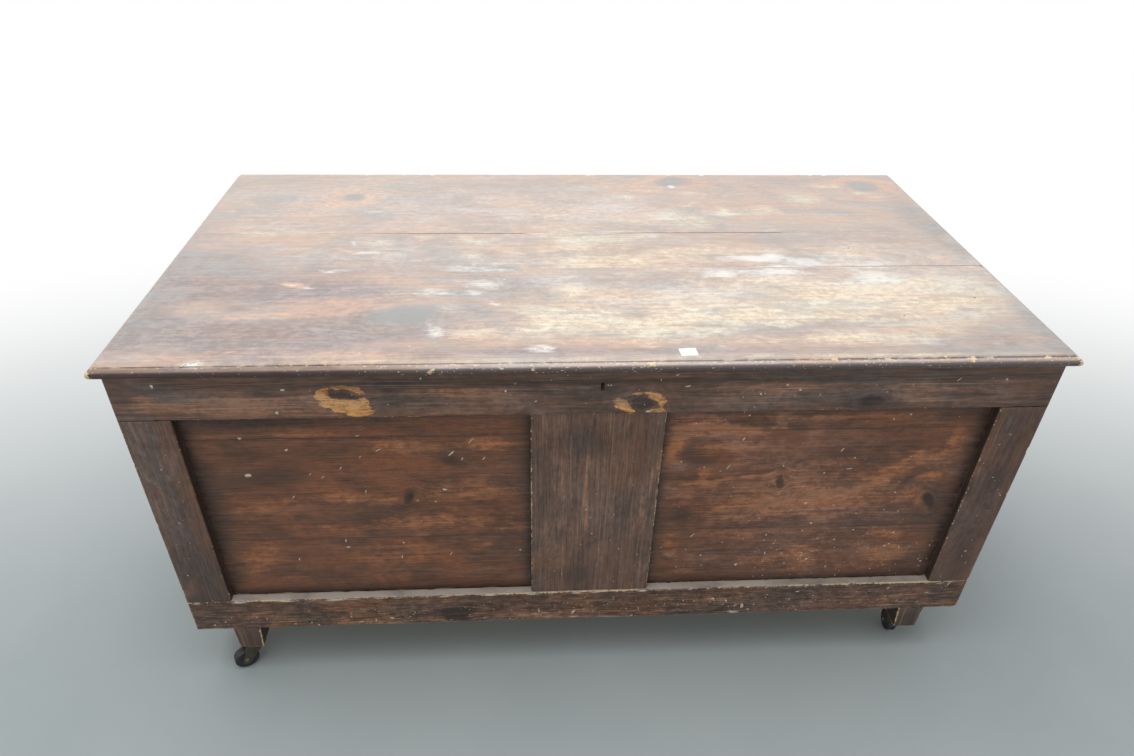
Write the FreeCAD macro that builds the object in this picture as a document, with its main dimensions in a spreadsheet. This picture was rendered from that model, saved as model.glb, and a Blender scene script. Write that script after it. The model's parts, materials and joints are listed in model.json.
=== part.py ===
import FreeCAD, Part
import math
import os
import Sketcher

# Blanket chest on casters, in millimetres. +X runs along the front, the front faces -Y, +Z is up.
# The origin is on the floor, under the middle of the chest.

# Driving dimensions: name, value, what it measures.
driving_dimensions = [
    ("chest_width", 1200, "over the two ends"),
    ("chest_depth", 609, "face of the planted frame to the back"),
    ("wall_height", 475, "underside of the bottom to the rim"),
    ("foot_clearance", 102, "floor to the underside of the bottom"),
    ("board", 18, "thickness of wall and bottom boards"),
    ("lower_seam", 175.5, "lower front seam above the underside"),
    ("upper_seam", 362, "upper front seam above the underside"),
    ("end_seam", 251, "seam of the two end boards above the underside"),
    ("frame_thickness", 15, "planted rails and stiles"),
    ("muntin_thickness", 12.5, "planted middle piece, set back from the rails"),
    ("top_rail_height", 69.5, "planted top rail"),
    ("bottom_rail_height", 63.5, "planted bottom rail"),
    ("stile_width", 65, "planted stile"),
    ("muntin_width", 177, "planted middle piece"),
    ("muntin_offset", 1.5, "middle piece to the right of centre"),
    ("lid_gap", 0.5, "air between rim and lid"),
    ("lid_thickness", 15.5, "lid boards"),
    ("side_overhang", 10, "lid beyond each end"),
    ("face_overhang", 12, "lid beyond front and back"),
    ("front_lid_board", 254.5, "width of the front lid board"),
    ("middle_lid_board", 122, "width of the middle lid board"),
    ("shrinkage", 1.6, "widest opening of a lid seam"),
    ("back_seam_open", 938, "length of the open stretch of the back lid seam, from the left"),
    ("front_seam_open", 264, "length of the open stretch of the front lid seam, from the right"),
    ("nose_radius", 6.8, "half-round nose on the lid's edge"),
    ("batten_width", 45, "lid batten"),
    ("batten_thickness", 20, "lid batten"),
    ("batten_length", 500, "lid batten"),
    ("batten_spread", 994, "middle of one batten to the middle of the other"),
    ("batten_bevel", 12, "bevel at a batten's ends"),
    ("batten_screw_pitch", 110, "one batten screw to the next"),
    ("foot_width", 42, "foot block at its top"),
    ("foot_depth", 46, "foot block, front to back"),
    ("foot_height", 46, "foot block"),
    ("foot_taper", 3, "each side of a block narrows by this towards the floor"),
    ("foot_spread", 1052, "middle of a left block to the middle of a right one"),
    ("foot_screw_across", 12.5, "middle of a block to a screw, along the chest"),
    ("foot_screw_along", 14, "middle of a block to a screw, front to back"),
    ("wheel_radius", 18.5, "caster wheel"),
    ("wheel_width", 14, "over the wheel's faces"),
    ("hub_width", 16, "over the wheel's hub"),
    ("hub_radius", 6.5, "wheel hub"),
    ("tread_chamfer", 1.8, "worn corner of the tread"),
    ("trail", 22.5, "stem axis to axle axis"),
    ("axle_radius", 3, "caster axle"),
    ("axle_head_radius", 5, "riveted end of the axle"),
    ("axle_head_height", 2.2, "riveted end of the axle"),
    ("axle_crown_radius", 3.2, "flat top of the riveted end"),
    ("horn_width", 20.4, "over the horn's two cheeks"),
    ("horn_sheet", 2, "thickness of the horn's steel"),
    ("horn_top", 54, "top of the horn above the floor"),
    ("horn_front", 12.5, "horn ahead of the stem axis"),
    ("horn_back", 15, "horn's top behind the stem axis"),
    ("horn_crown", 6, "side of the horn's crown, at its front"),
    ("horn_bend_run", 4, "bend at the back of the crown, along the horn"),
    ("horn_bend_drop", 5, "bend at the back of the crown, downwards"),
    ("horn_eye", 7.5, "rounded end of a cheek around the axle"),
    ("stem_radius", 4.75, "caster stem"),
    ("stem_length", 36, "caster stem above the horn"),
    ("running_fit", 0.05, "radial clearance of a turning fit"),
    ("socket_radius", 6, "outside of the socket sleeve"),
    ("socket_depth", 38, "sleeve inside the foot block"),
    ("socket_flange_radius", 12, "flange under the foot block"),
    ("socket_flange", 1.2, "thickness of the socket's flange"),
    ("turn_front_left", 208, "degrees from +X to the way the wheel trails"),
    ("turn_front_right", 85, "degrees"),
    ("turn_back_left", 158, "degrees"),
    ("turn_back_right", 24, "degrees"),
    ("hinge_spread", 760, "middle of one hinge to the middle of the other"),
    ("hinge_setback", 3, "hinge axis behind the back boards"),
    ("leaf_length", 75, "hinge leaf along its axis"),
    ("leaf_width", 17, "hinge axis to the leaf's far edge"),
    ("leaf_thickness", 2, "hinge leaf"),
    ("leaf_screw_pitch", 26, "one leaf screw to the next"),
    ("leaf_screw_line", 11.2, "hinge axis to the row of screws"),
    ("knuckle_radius", 4, "hinge knuckle"),
    ("knuckle_gap", 0.3, "between neighbouring knuckles"),
    ("knuckle_room", 0.4, "air around a knuckle"),
    ("pin_radius", 1.8, "hinge pin"),
    ("pin_end", 1.5, "hinge pin beyond the knuckles"),
    ("keyhole_offset", 4, "keyhole to the right of centre"),
    ("keyhole_drop", 20, "rim to the top of the keyhole"),
    ("keyhole_height", 12, "keyhole"),
    ("keyhole_radius", 3.3, "round head of the keyhole"),
    ("keyslot_width", 4.6, "slot of the keyhole"),
    ("lock_width", 70, "lock case"),
    ("lock_height", 42, "rim to the bottom of the lock case"),
    ("lock_depth", 10, "lock case with its cap"),
    ("lock_wall", 1.5, "wall of the lock case"),
    ("cap_thickness", 1.2, "cap of the lock case"),
    ("flange_length", 88, "lock's top flange"),
    ("flange_width", 16, "lock's top flange"),
    ("flange_thickness", 2, "lock's top flange"),
    ("flange_slot_length", 5, "slot for a link, along the chest"),
    ("flange_slot_width", 7, "slot for a link, front to back"),
    ("link_spread", 28, "middle of one link to the middle of the other"),
    ("link_thickness", 3, "link along the chest"),
    ("link_width", 6, "link front to back"),
    ("link_drop", 12.5, "link below the lid"),
    ("link_window_width", 3.6, "eye of a link"),
    ("link_window_height", 5, "eye of a link"),
    ("link_bar", 1.5, "bar under a link's eye"),
    ("link_plate_length", 60, "plate under the lid"),
    ("link_plate_width", 16, "plate under the lid"),
    ("link_plate_thickness", 1.6, "plate under the lid"),
    ("link_screw_spread", 48, "one screw of the link plate to the other"),
    ("link_clearance", 0.2, "flange slot to the lock's cap"),
    ("bolt_thickness", 2.6, "lock bolt, front to back"),
    ("bolt_throw", 7, "travel of the lock bolt"),
    ("bolt_bar_height", 5.5, "lock bolt's bar"),
    ("bolt_bar_drop", 13.5, "rim to the top of the bolt's bar"),
    ("hook_width", 4, "upright of a bolt hook"),
    ("hook_top_drop", 6, "rim to the top of a bolt hook"),
    ("finger_height", 4, "finger of a bolt hook"),
    ("finger_gap", 0.8, "tip of a withdrawn finger to its link"),
    ("bolt_tail", 20, "keyhole's middle to the bolt's right end"),
    ("left_stump", 17, "keyhole's middle to the left stump"),
    ("right_stump", 15, "keyhole's middle to the right stump"),
    ("stump_radius", 1.5, "stump that guides the bolt"),
    ("shoulder_radius", 2.4, "stump's shoulder"),
    ("slide_gap", 0.1, "air between the bolt and what guides it"),
    ("spring_thickness", 0.5, "flat spring under the bolt"),
    ("spring_reach", 22, "case wall to the spring's tip"),
    ("spring_bend_drop", 33, "rim to the spring's bend"),
    ("spring_gap", 0.3, "spring's tip to the bolt"),
    ("leaf_screw_length", 12, "hinge and lock screws"),
    ("leaf_screw_radius", 1.6, "hinge and lock screws"),
    ("leaf_screw_head", 3.2, "hinge and lock screws"),
    ("batten_screw_length", 32, "batten screws"),
    ("foot_screw_length", 58, "foot block screws"),
    ("wood_screw_radius", 2.1, "batten and foot block screws"),
    ("wood_screw_head", 4.2, "batten and foot block screws"),
]
sizes = {name: value for name, value, meaning in driving_dimensions}

document = FreeCAD.newDocument("BlanketChest")
sheet = document.addObject("Spreadsheet::Sheet", "sizes")
for row, (name, value, meaning) in enumerate(driving_dimensions, start=1):
    sheet.set(f"A{row}", name)
    sheet.set(f"B{row}", str(value))
    sheet.setAlias(f"B{row}", name)
    sheet.set(f"C{row}", meaning)
document.recompute()

# Planes of the chest that several pieces share, worked out from the sheet.
left_side = "(-sizes.chest_width / 2)"
front_face = "(-sizes.chest_depth / 2)"
back_face = "(sizes.chest_depth / 2)"
wall_front = f"({front_face} + sizes.frame_thickness)"
wall_inside = f"({wall_front} + sizes.board)"
back_inside = f"({back_face} - sizes.board)"
underside = "sizes.foot_clearance"
rim = f"({underside} + sizes.wall_height)"
lid_bottom = f"({rim} + sizes.lid_gap)"
hinge_height = f"({rim} + sizes.lid_gap / 2)"
hinge_line = f"({back_face} + sizes.hinge_setback)"
lid_left = f"({left_side} - sizes.side_overhang)"
lid_front = f"({front_face} - sizes.face_overhang)"
lid_length = "(sizes.chest_width + 2 * sizes.side_overhang)"
foot_line = f"({back_face} - sizes.foot_depth / 2)"
link_line = f"({wall_inside} - sizes.cap_thickness - sizes.flange_slot_width / 2 - sizes.link_clearance)"

finished = []
cuts = []
drive_down = FreeCAD.Rotation(FreeCAD.Vector(1, 0, 0), 180)
drive_up = FreeCAD.Rotation()


def place(thing, x, y, z, rotation=None):
    # Puts a thing at three expressions of the sheet, turned if a rotation is given.
    if rotation is not None:
        thing.Placement = FreeCAD.Placement(FreeCAD.Vector(), rotation)
    for axis, expression in zip("xyz", (x, y, z)):
        thing.setExpression(f"Placement.Base.{axis}", expression)
    return thing


def finish(thing, label):
    # Names a finished piece, which is then written to its own file.
    thing.Label = label
    finished.append(thing)
    return thing


def box(x, y, z, length, depth, height):
    shape = document.addObject("Part::Box", "Board")
    shape.setExpression("Length", length)
    shape.setExpression("Width", depth)
    shape.setExpression("Height", height)
    return place(shape, x, y, z)


def cylinder(radius, height, x="0", y="0", z="0"):
    shape = document.addObject("Part::Cylinder", "Round")
    shape.setExpression("Radius", radius)
    shape.setExpression("Height", height)
    return place(shape, x, y, z)


def bored(blank, tool):
    shape = document.addObject("Part::Cut", "Bored")
    shape.Base = blank
    shape.Tool = tool
    return shape


def group(things):
    shape = document.addObject("Part::Compound", "Group")
    shape.Links = things
    return shape


def new_body(x="0", y="0", z="0"):
    return place(document.addObject("PartDesign::Body", "Body"), x, y, z)


def sketch_on(body, plane_role, offset="0"):
    # An empty sketch on one of the body's own origin planes, moved along the plane's normal.
    sketch = body.newObject("Sketcher::SketchObject", "Outline")
    plane = [feature for feature in body.Origin.OriginFeatures if feature.Role == plane_role][0]
    sketch.AttachmentSupport = [(plane, "")]
    sketch.MapMode = "FlatFace"
    sketch.setExpression("AttachmentOffset.Base.z", offset)
    return sketch


def pin_point(sketch, geometry, point, x, y, guess=FreeCAD.Vector(1, 1, 0)):
    # Ties one point of a sketch to two expressions, measured from the sketch's origin.
    for kind, expression, value in (("DistanceX", x, guess.x), ("DistanceY", y, guess.y)):
        index = sketch.addConstraint(Sketcher.Constraint(kind, -1, 1, geometry, point, value))
        sketch.setExpression(f"Constraints[{index}]", expression)


def polygon(sketch, corners):
    # A closed outline of straight lines through corners given as pairs of expressions.
    count = len(corners)
    angles = [2 * math.pi * number / count for number in range(count)]
    guess = [FreeCAD.Vector(math.cos(angle), math.sin(angle), 0) for angle in angles]
    first = sketch.GeometryCount
    for number in range(count):
        sketch.addGeometry(Part.LineSegment(guess[number], guess[(number + 1) % count]))
    for number in range(count):
        after = first + (number + 1) % count
        sketch.addConstraint(Sketcher.Constraint("Coincident", first + number, 2, after, 1))
    for number, (x, y) in enumerate(corners):
        pin_point(sketch, first + number, 1, x, y)
    return sketch


def rectangle(sketch, x_low, y_low, x_high, y_high):
    return polygon(sketch, [(x_low, y_low), (x_high, y_low), (x_high, y_high), (x_low, y_high)])


def circle(sketch, radius, x="0", y="0"):
    index = sketch.addGeometry(Part.Circle(FreeCAD.Vector(0, 0, 0), FreeCAD.Vector(0, 0, 1), 1.0))
    pin_point(sketch, index, 3, x, y)
    constraint = sketch.addConstraint(Sketcher.Constraint("Radius", index, 1.0))
    sketch.setExpression(f"Constraints[{constraint}]", radius)
    return sketch


def pad(body, sketch, length, side="One side", reverse=False):
    feature = body.newObject("PartDesign::Pad", "Pad")
    feature.Profile = sketch
    feature.SideType = side
    feature.Reversed = reverse
    feature.setExpression("Length", length)
    return feature


def pocket(body, sketch, length, side="One side", reverse=False):
    feature = body.newObject("PartDesign::Pocket", "Pocket")
    feature.Profile = sketch
    feature.SideType = side
    feature.Reversed = reverse
    feature.setExpression("Length", length)
    cuts.append(feature)
    return feature


def revolve(body, sketch, axis_name):
    feature = body.newObject("PartDesign::Revolution", "Revolution")
    feature.Profile = sketch
    feature.ReferenceAxis = (sketch, [axis_name])
    feature.Angle = 360
    return feature


def keyhole(sketch, x, top):
    # A round head over a straight slot, as one outline: slot left side, foot, right side and the head's arc.
    half_slot = sizes["keyslot_width"] / 2
    radius = sizes["keyhole_radius"]
    dip = math.asin(half_slot / radius)
    head = Part.Circle(FreeCAD.Vector(0, 0, 0), FreeCAD.Vector(0, 0, 1), radius)
    arc = sketch.addGeometry(Part.ArcOfCircle(head, dip - math.pi / 2, 3 * math.pi / 2 - dip))
    neck = -radius * math.cos(dip)
    foot = radius - sizes["keyhole_height"]
    points = [(-half_slot, neck), (-half_slot, foot), (half_slot, foot), (half_slot, neck)]
    corners = [FreeCAD.Vector(across, up, 0) for across, up in points]
    left, bottom, right = [sketch.addGeometry(Part.LineSegment(corners[n], corners[n + 1])) for n in range(3)]
    sketch.addConstraint(Sketcher.Constraint("Coincident", arc, 2, left, 1))
    sketch.addConstraint(Sketcher.Constraint("Coincident", left, 2, bottom, 1))
    sketch.addConstraint(Sketcher.Constraint("Coincident", bottom, 2, right, 1))
    sketch.addConstraint(Sketcher.Constraint("Coincident", right, 2, arc, 1))
    sketch.addConstraint(Sketcher.Constraint("Vertical", left))
    sketch.addConstraint(Sketcher.Constraint("Vertical", right))
    pin_point(sketch, arc, 3, x, f"{top} - sizes.keyhole_radius")
    constraint = sketch.addConstraint(Sketcher.Constraint("Radius", arc, radius))
    sketch.setExpression(f"Constraints[{constraint}]", "sizes.keyhole_radius")
    slot_foot = f"{top} - sizes.keyhole_height"
    pin_point(sketch, left, 2, f"{x} - sizes.keyslot_width / 2", slot_foot)
    pin_point(sketch, right, 1, f"{x} + sizes.keyslot_width / 2", slot_foot)
    return sketch


def nose_waste(sketch, edge, edge_place, inward):
    # What a moulding plane takes off a lid edge: all that lies outside the half-round nose and the quirk
    # above it. inward is +1 where the board lies on the larger side of the edge, or -1.
    radius = sizes["nose_radius"]
    middle = FreeCAD.Vector(edge_place + inward * radius, radius, 0)
    outward = FreeCAD.Vector(-inward * (radius + 1), 0, 0)
    top = middle + FreeCAD.Vector(0, radius, 0)
    low = middle - FreeCAD.Vector(0, radius, 0)
    above = FreeCAD.Vector(0, sizes["lid_thickness"] + 1 - 2 * radius, 0)
    below = FreeCAD.Vector(0, -1, 0)
    corners = [top, top + above, top + above + outward, low + below + outward, low + below, low]
    for number in range(5):
        sketch.addGeometry(Part.LineSegment(corners[number], corners[number + 1]))
    for number in range(4):
        sketch.addConstraint(Sketcher.Constraint("Coincident", number, 2, number + 1, 1))
    start = math.pi / 2 if inward > 0 else -math.pi / 2
    round_nose = Part.Circle(middle, FreeCAD.Vector(0, 0, 1), radius)
    arc = sketch.addGeometry(Part.ArcOfCircle(round_nose, start, start + math.pi))
    top_end, low_end = (1, 2) if inward > 0 else (2, 1)
    sketch.addConstraint(Sketcher.Constraint("Coincident", arc, top_end, 0, 1))
    sketch.addConstraint(Sketcher.Constraint("Coincident", arc, low_end, 4, 2))
    sketch.addConstraint(Sketcher.Constraint("Vertical", 0))
    sketch.addConstraint(Sketcher.Constraint("Vertical", 4))
    constraint = sketch.addConstraint(Sketcher.Constraint("Radius", arc, radius))
    sketch.setExpression(f"Constraints[{constraint}]", "sizes.nose_radius")
    root = f"{edge} + {inward} * sizes.nose_radius"
    outside = f"{edge} - {inward}"
    pin_point(sketch, arc, 3, root, "sizes.nose_radius", middle)
    pin_point(sketch, 1, 1, root, "sizes.lid_thickness + 1", corners[1])
    pin_point(sketch, 2, 1, outside, "sizes.lid_thickness + 1", corners[2])
    pin_point(sketch, 3, 1, outside, "-1", corners[3])
    pin_point(sketch, 4, 1, root, "-1", corners[4])
    return sketch


def screw(x, y, z, rotation, length, radius, head_radius):
    # A countersunk screw whose head lies flush at x, y, z and which drives along its own +Z.
    head = document.addObject("Part::Cone", "Head")
    head.setExpression("Radius1", head_radius)
    head.setExpression("Radius2", radius)
    head.setExpression("Height", f"{head_radius} - {radius}")
    shank = cylinder(radius, length)
    whole = document.addObject("Part::Fuse", "Screw")
    whole.Base = head
    whole.Tool = shank
    return place(whole, x, y, z, rotation)


def small_screw(x, y, z, rotation):
    return screw(x, y, z, rotation, "sizes.leaf_screw_length", "sizes.leaf_screw_radius",
                 "sizes.leaf_screw_head")


def wood_screw(x, y, z, rotation, length):
    return screw(x, y, z, rotation, length, "sizes.wood_screw_radius", "sizes.wood_screw_head")


# Places that repeat.
corners_of_chest = {
    "front_left": ("(-sizes.foot_spread / 2)", f"(-{foot_line})", "sizes.turn_front_left"),
    "front_right": ("(sizes.foot_spread / 2)", f"(-{foot_line})", "sizes.turn_front_right"),
    "back_left": ("(-sizes.foot_spread / 2)", foot_line, "sizes.turn_back_left"),
    "back_right": ("(sizes.foot_spread / 2)", foot_line, "sizes.turn_back_right"),
}
hinge_places = {"left": "(-sizes.hinge_spread / 2)", "right": "(sizes.hinge_spread / 2)"}
batten_places = {"left": "(-sizes.batten_spread / 2)", "right": "(sizes.batten_spread / 2)"}
foot_bottom = f"({underside} - sizes.foot_height)"


# Screws come first, because the boards that they hold are bored by them.
def make_foot_screws():
    # Two for each block, on a diagonal, up through the block into the chest.
    screws = []
    for x, y, turn in corners_of_chest.values():
        for side in (-1, 1):
            across = f"{x} + {side} * sizes.foot_screw_across"
            along = f"{y} + {side} * sizes.foot_screw_along"
            screws.append(wood_screw(across, along, foot_bottom, drive_up, "sizes.foot_screw_length"))
    return finish(group(screws), "foot_block_screws")


def make_batten_screws():
    # Five through each batten: two into the outer lid boards, one into the middle board.
    bottom = f"({lid_bottom} - sizes.batten_thickness)"
    screws = []
    for x in batten_places.values():
        for number in range(-2, 3):
            along = f"{number} * sizes.batten_screw_pitch"
            screws.append(wood_screw(x, along, bottom, drive_up, "sizes.batten_screw_length"))
    return finish(group(screws), "batten_screws")


def make_leaf_screws(label, height, rotation):
    # Three in each leaf, in a row down the leaf's middle.
    screws = []
    for x in hinge_places.values():
        for number in (-1, 0, 1):
            along = f"{x} + {number} * sizes.leaf_screw_pitch"
            across = f"{hinge_line} - sizes.leaf_screw_line"
            screws.append(small_screw(along, across, height, rotation))
    return finish(group(screws), label)


def make_lock_screws():
    # One at each end of the lock's flange, down into the edge of the front board.
    reach = "(sizes.flange_length + sizes.lock_width) / 4"
    y = f"{wall_inside} - sizes.flange_width / 2"
    screws = [small_screw(f"sizes.keyhole_offset + {side} * {reach}", y, rim, drive_down) for side in (-1, 1)]
    return finish(group(screws), "lock_screws")


def make_link_plate_screws():
    reach = "sizes.link_screw_spread / 2"
    screws = [small_screw(f"sizes.keyhole_offset + {side} * {reach}", link_line, lid_bottom, drive_up)
              for side in (-1, 1)]
    return finish(group(screws), "link_plate_screws")


foot_screws = make_foot_screws()
batten_screws = make_batten_screws()
lower_leaf_screws = make_leaf_screws("lower_leaf_screws", rim, drive_down)
upper_leaf_screws = make_leaf_screws("upper_leaf_screws", lid_bottom, drive_up)
lock_screws = make_lock_screws()
link_plate_screws = make_link_plate_screws()


def board_blank(x, y, z, length, depth, height):
    # A squared board as a body, with its own origin at its low front left corner.
    body = new_body(x, y, z)
    outline = rectangle(sketch_on(body, "XY_Plane"), "0", "0", length, depth)
    pad(body, outline, height)
    return body


def make_front_boards():
    # Three boards the full width of the chest; the top one is let in for the lock and pierced for the key.
    seams = ["sizes.board", "sizes.lower_seam", "sizes.upper_seam"]
    for number, name in enumerate(("bottom", "middle")):
        low = seams[number]
        height = f"{seams[number + 1]} - {low}"
        plain = box(left_side, wall_front, f"{underside} + {low}", "sizes.chest_width", "sizes.board", height)
        finish(plain, f"front_board_{name}")
    height = "(sizes.wall_height - sizes.upper_seam)"
    top = board_blank(left_side, wall_front, f"{underside} + sizes.upper_seam",
                      "sizes.chest_width", "sizes.board", height)
    middle = "(sizes.chest_width / 2 + sizes.keyhole_offset)"
    case = rectangle(sketch_on(top, "XY_Plane", height),
                     f"{middle} - sizes.lock_width / 2", "sizes.board - sizes.lock_depth",
                     f"{middle} + sizes.lock_width / 2", "sizes.board + 1")
    pocket(top, case, "sizes.lock_height")
    flange = rectangle(sketch_on(top, "XY_Plane", height),
                       f"{middle} - sizes.flange_length / 2", "sizes.board - sizes.flange_width",
                       f"{middle} + sizes.flange_length / 2", "sizes.board + 1")
    pocket(top, flange, "sizes.flange_thickness")
    hole = keyhole(sketch_on(top, "XZ_Plane"), middle, f"{height} - sizes.keyhole_drop")
    pocket(top, hole, "2 * sizes.board", side="Symmetric")
    finish(bored(top, lock_screws), "front_board_top")


def make_back_boards():
    # As the front, with a gain for each hinge in the top edge.
    seams = ["sizes.board", "sizes.lower_seam", "sizes.upper_seam"]
    for number, name in enumerate(("bottom", "middle")):
        low = seams[number]
        height = f"{seams[number + 1]} - {low}"
        plain = box(left_side, back_inside, f"{underside} + {low}", "sizes.chest_width", "sizes.board", height)
        finish(plain, f"back_board_{name}")
    height = "(sizes.wall_height - sizes.upper_seam)"
    top = board_blank(left_side, back_inside, f"{underside} + sizes.upper_seam",
                      "sizes.chest_width", "sizes.board", height)
    axis = "(sizes.board + sizes.hinge_setback)"
    for x in hinge_places.values():
        low = f"sizes.chest_width / 2 + {x} - sizes.leaf_length / 2"
        high = f"sizes.chest_width / 2 + {x} + sizes.leaf_length / 2"
        gain = rectangle(sketch_on(top, "XY_Plane", height),
                         low, f"{axis} - sizes.leaf_width", high, "sizes.board + 1")
        pocket(top, gain, "sizes.leaf_thickness")
        notch = rectangle(sketch_on(top, "XY_Plane", height),
                          low, f"{axis} - sizes.knuckle_radius - sizes.knuckle_room", high, "sizes.board + 1")
        pocket(top, notch, "sizes.knuckle_radius + sizes.knuckle_room")
    finish(bored(top, lower_leaf_screws), "back_board_top")


def make_end_boards():
    # Two boards in each end, held between the front and back walls.
    sides = {"left": left_side, "right": "(sizes.chest_width / 2 - sizes.board)"}
    spans = {"lower": ("sizes.board", "sizes.end_seam"), "upper": ("sizes.end_seam", "sizes.wall_height")}
    depth = f"{back_inside} - {wall_inside}"
    for side, x in sides.items():
        for level, (low, high) in spans.items():
            plain = box(x, wall_inside, f"{underside} + {low}", "sizes.board", depth, f"{high} - {low}")
            finish(plain, f"{side}_end_board_{level}")


def make_bottom_boards():
    # Four lengthwise boards nailed up under the walls. The outer two are bored for the foot screws.
    width = "((sizes.chest_depth - sizes.frame_thickness) / 4)"
    for number, name in enumerate(("front", "middle_front", "middle_back", "back")):
        y = f"{wall_front} + {number} * {width}"
        plain = box(left_side, y, underside, "sizes.chest_width", width, "sizes.board")
        whole = bored(plain, foot_screws) if name in ("front", "back") else plain
        finish(whole, f"bottom_board_{name}")


def make_planted_frame():
    # Rails run the full width; stiles and the middle piece stand between them.
    top_rail = board_blank(left_side, front_face, f"{rim} - sizes.top_rail_height",
                           "sizes.chest_width", "sizes.frame_thickness", "sizes.top_rail_height")
    hole = keyhole(sketch_on(top_rail, "XZ_Plane"), "(sizes.chest_width / 2 + sizes.keyhole_offset)",
                   "sizes.top_rail_height - sizes.keyhole_drop")
    pocket(top_rail, hole, "3 * sizes.frame_thickness", side="Symmetric")
    finish(top_rail, "top_rail")
    bottom_rail = box(left_side, front_face, underside,
                      "sizes.chest_width", "sizes.frame_thickness", "sizes.bottom_rail_height")
    finish(bored(bottom_rail, foot_screws), "bottom_rail")
    low = f"{underside} + sizes.bottom_rail_height"
    height = "sizes.wall_height - sizes.top_rail_height - sizes.bottom_rail_height"
    for side, x in {"left": left_side, "right": "sizes.chest_width / 2 - sizes.stile_width"}.items():
        stile = box(x, front_face, low, "sizes.stile_width", "sizes.frame_thickness", height)
        finish(stile, f"{side}_stile")
    muntin = box("sizes.muntin_offset - sizes.muntin_width / 2", f"{wall_front} - sizes.muntin_thickness", low,
                 "sizes.muntin_width", "sizes.muntin_thickness", height)
    finish(muntin, "muntin")


def make_foot_blocks():
    # A block narrows a little to the floor and is bored for its caster socket.
    for corner, (x, y, turn) in corners_of_chest.items():
        body = new_body(x, y, foot_bottom)
        half_top = "(sizes.foot_width / 2)"
        half_low = "(sizes.foot_width / 2 - sizes.foot_taper)"
        outline = polygon(sketch_on(body, "XZ_Plane"), [
            (f"-{half_low}", "0"), (half_low, "0"),
            (half_top, "sizes.foot_height"), (f"-{half_top}", "sizes.foot_height")])
        pad(body, outline, "sizes.foot_depth", side="Symmetric")
        bore = circle(sketch_on(body, "XY_Plane"), "sizes.socket_radius")
        pocket(body, bore, "sizes.socket_depth", reverse=True)
        finish(bored(body, foot_screws), f"foot_block_{corner}")


def make_caster_sockets():
    # A flanged sleeve in each foot block.
    sockets = []
    for x, y, turn in corners_of_chest.values():
        flange = cylinder("sizes.socket_flange_radius", "sizes.socket_flange",
                          x, y, f"{foot_bottom} - sizes.socket_flange")
        sleeve = cylinder("sizes.socket_radius", "sizes.socket_depth", x, y, foot_bottom)
        whole = document.addObject("Part::Fuse", "Sleeve")
        whole.Base = flange
        whole.Tool = sleeve
        bore = cylinder("sizes.stem_radius + sizes.running_fit", "2 * sizes.socket_depth",
                        x, y, f"{foot_bottom} - sizes.socket_depth")
        sockets.append(bored(whole, bore))
    finish(group(sockets), "caster_sockets")


def make_horn(corner, x, y, turn):
    # Bent steel: a flat crown with two cheeks that reach back to the axle, and a stem riveted in the crown.
    body = new_body(x, y, "0")
    body.setExpression("Placement.Rotation.Angle", turn)
    side_view = polygon(sketch_on(body, "XZ_Plane"), [
        ("-sizes.horn_front", "sizes.horn_top"),
        ("-sizes.horn_front", "sizes.horn_top - sizes.horn_crown"),
        ("sizes.trail - sizes.horn_eye", "sizes.wheel_radius"),
        ("sizes.trail + sizes.horn_eye", "sizes.wheel_radius"),
        ("sizes.horn_back + sizes.horn_bend_run", "sizes.horn_top - sizes.horn_bend_drop"),
        ("sizes.horn_back", "sizes.horn_top")])
    pad(body, side_view, "sizes.horn_width", side="Symmetric")
    cheek_end = circle(sketch_on(body, "XZ_Plane"), "sizes.horn_eye", "sizes.trail", "sizes.wheel_radius")
    pad(body, cheek_end, "sizes.horn_width", side="Symmetric")
    gap = rectangle(sketch_on(body, "XZ_Plane"), "-2 * sizes.horn_front", "-1",
                    "2 * sizes.trail", "sizes.horn_top - sizes.horn_sheet")
    pocket(body, gap, "sizes.horn_width - 2 * sizes.horn_sheet", side="Symmetric")
    stem = circle(sketch_on(body, "XY_Plane", "sizes.horn_top"), "sizes.stem_radius")
    pad(body, stem, "sizes.stem_length")
    eye = circle(sketch_on(body, "XZ_Plane"), "sizes.axle_radius", "sizes.trail", "sizes.wheel_radius")
    pocket(body, eye, "2 * sizes.horn_width", side="Symmetric")
    finish(body, f"caster_horn_{corner}")


def caster_axis_body(x, y, turn):
    # A body centred on the middle of a caster's axle, with its own Y along the axle.
    body = new_body(f"{x} + sizes.trail * cos({turn})", f"{y} + sizes.trail * sin({turn})",
                    "sizes.wheel_radius")
    body.setExpression("Placement.Rotation.Angle", turn)
    return body


def make_axle(corner, x, y, turn):
    # A plain pin, riveted over outside each cheek.
    body = caster_axis_body(x, y, turn)
    end = "(sizes.horn_width / 2)"
    tip = f"({end} + sizes.axle_head_height)"
    upper = [("sizes.axle_radius", end), ("sizes.axle_head_radius", end), ("sizes.axle_crown_radius", tip),
             ("0", tip)]
    lower = [(radius, f"-{height}") for radius, height in reversed(upper)]
    profile = polygon(sketch_on(body, "XY_Plane"), lower + upper)
    revolve(body, profile, "V_Axis")
    finish(body, f"caster_axle_{corner}")


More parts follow.
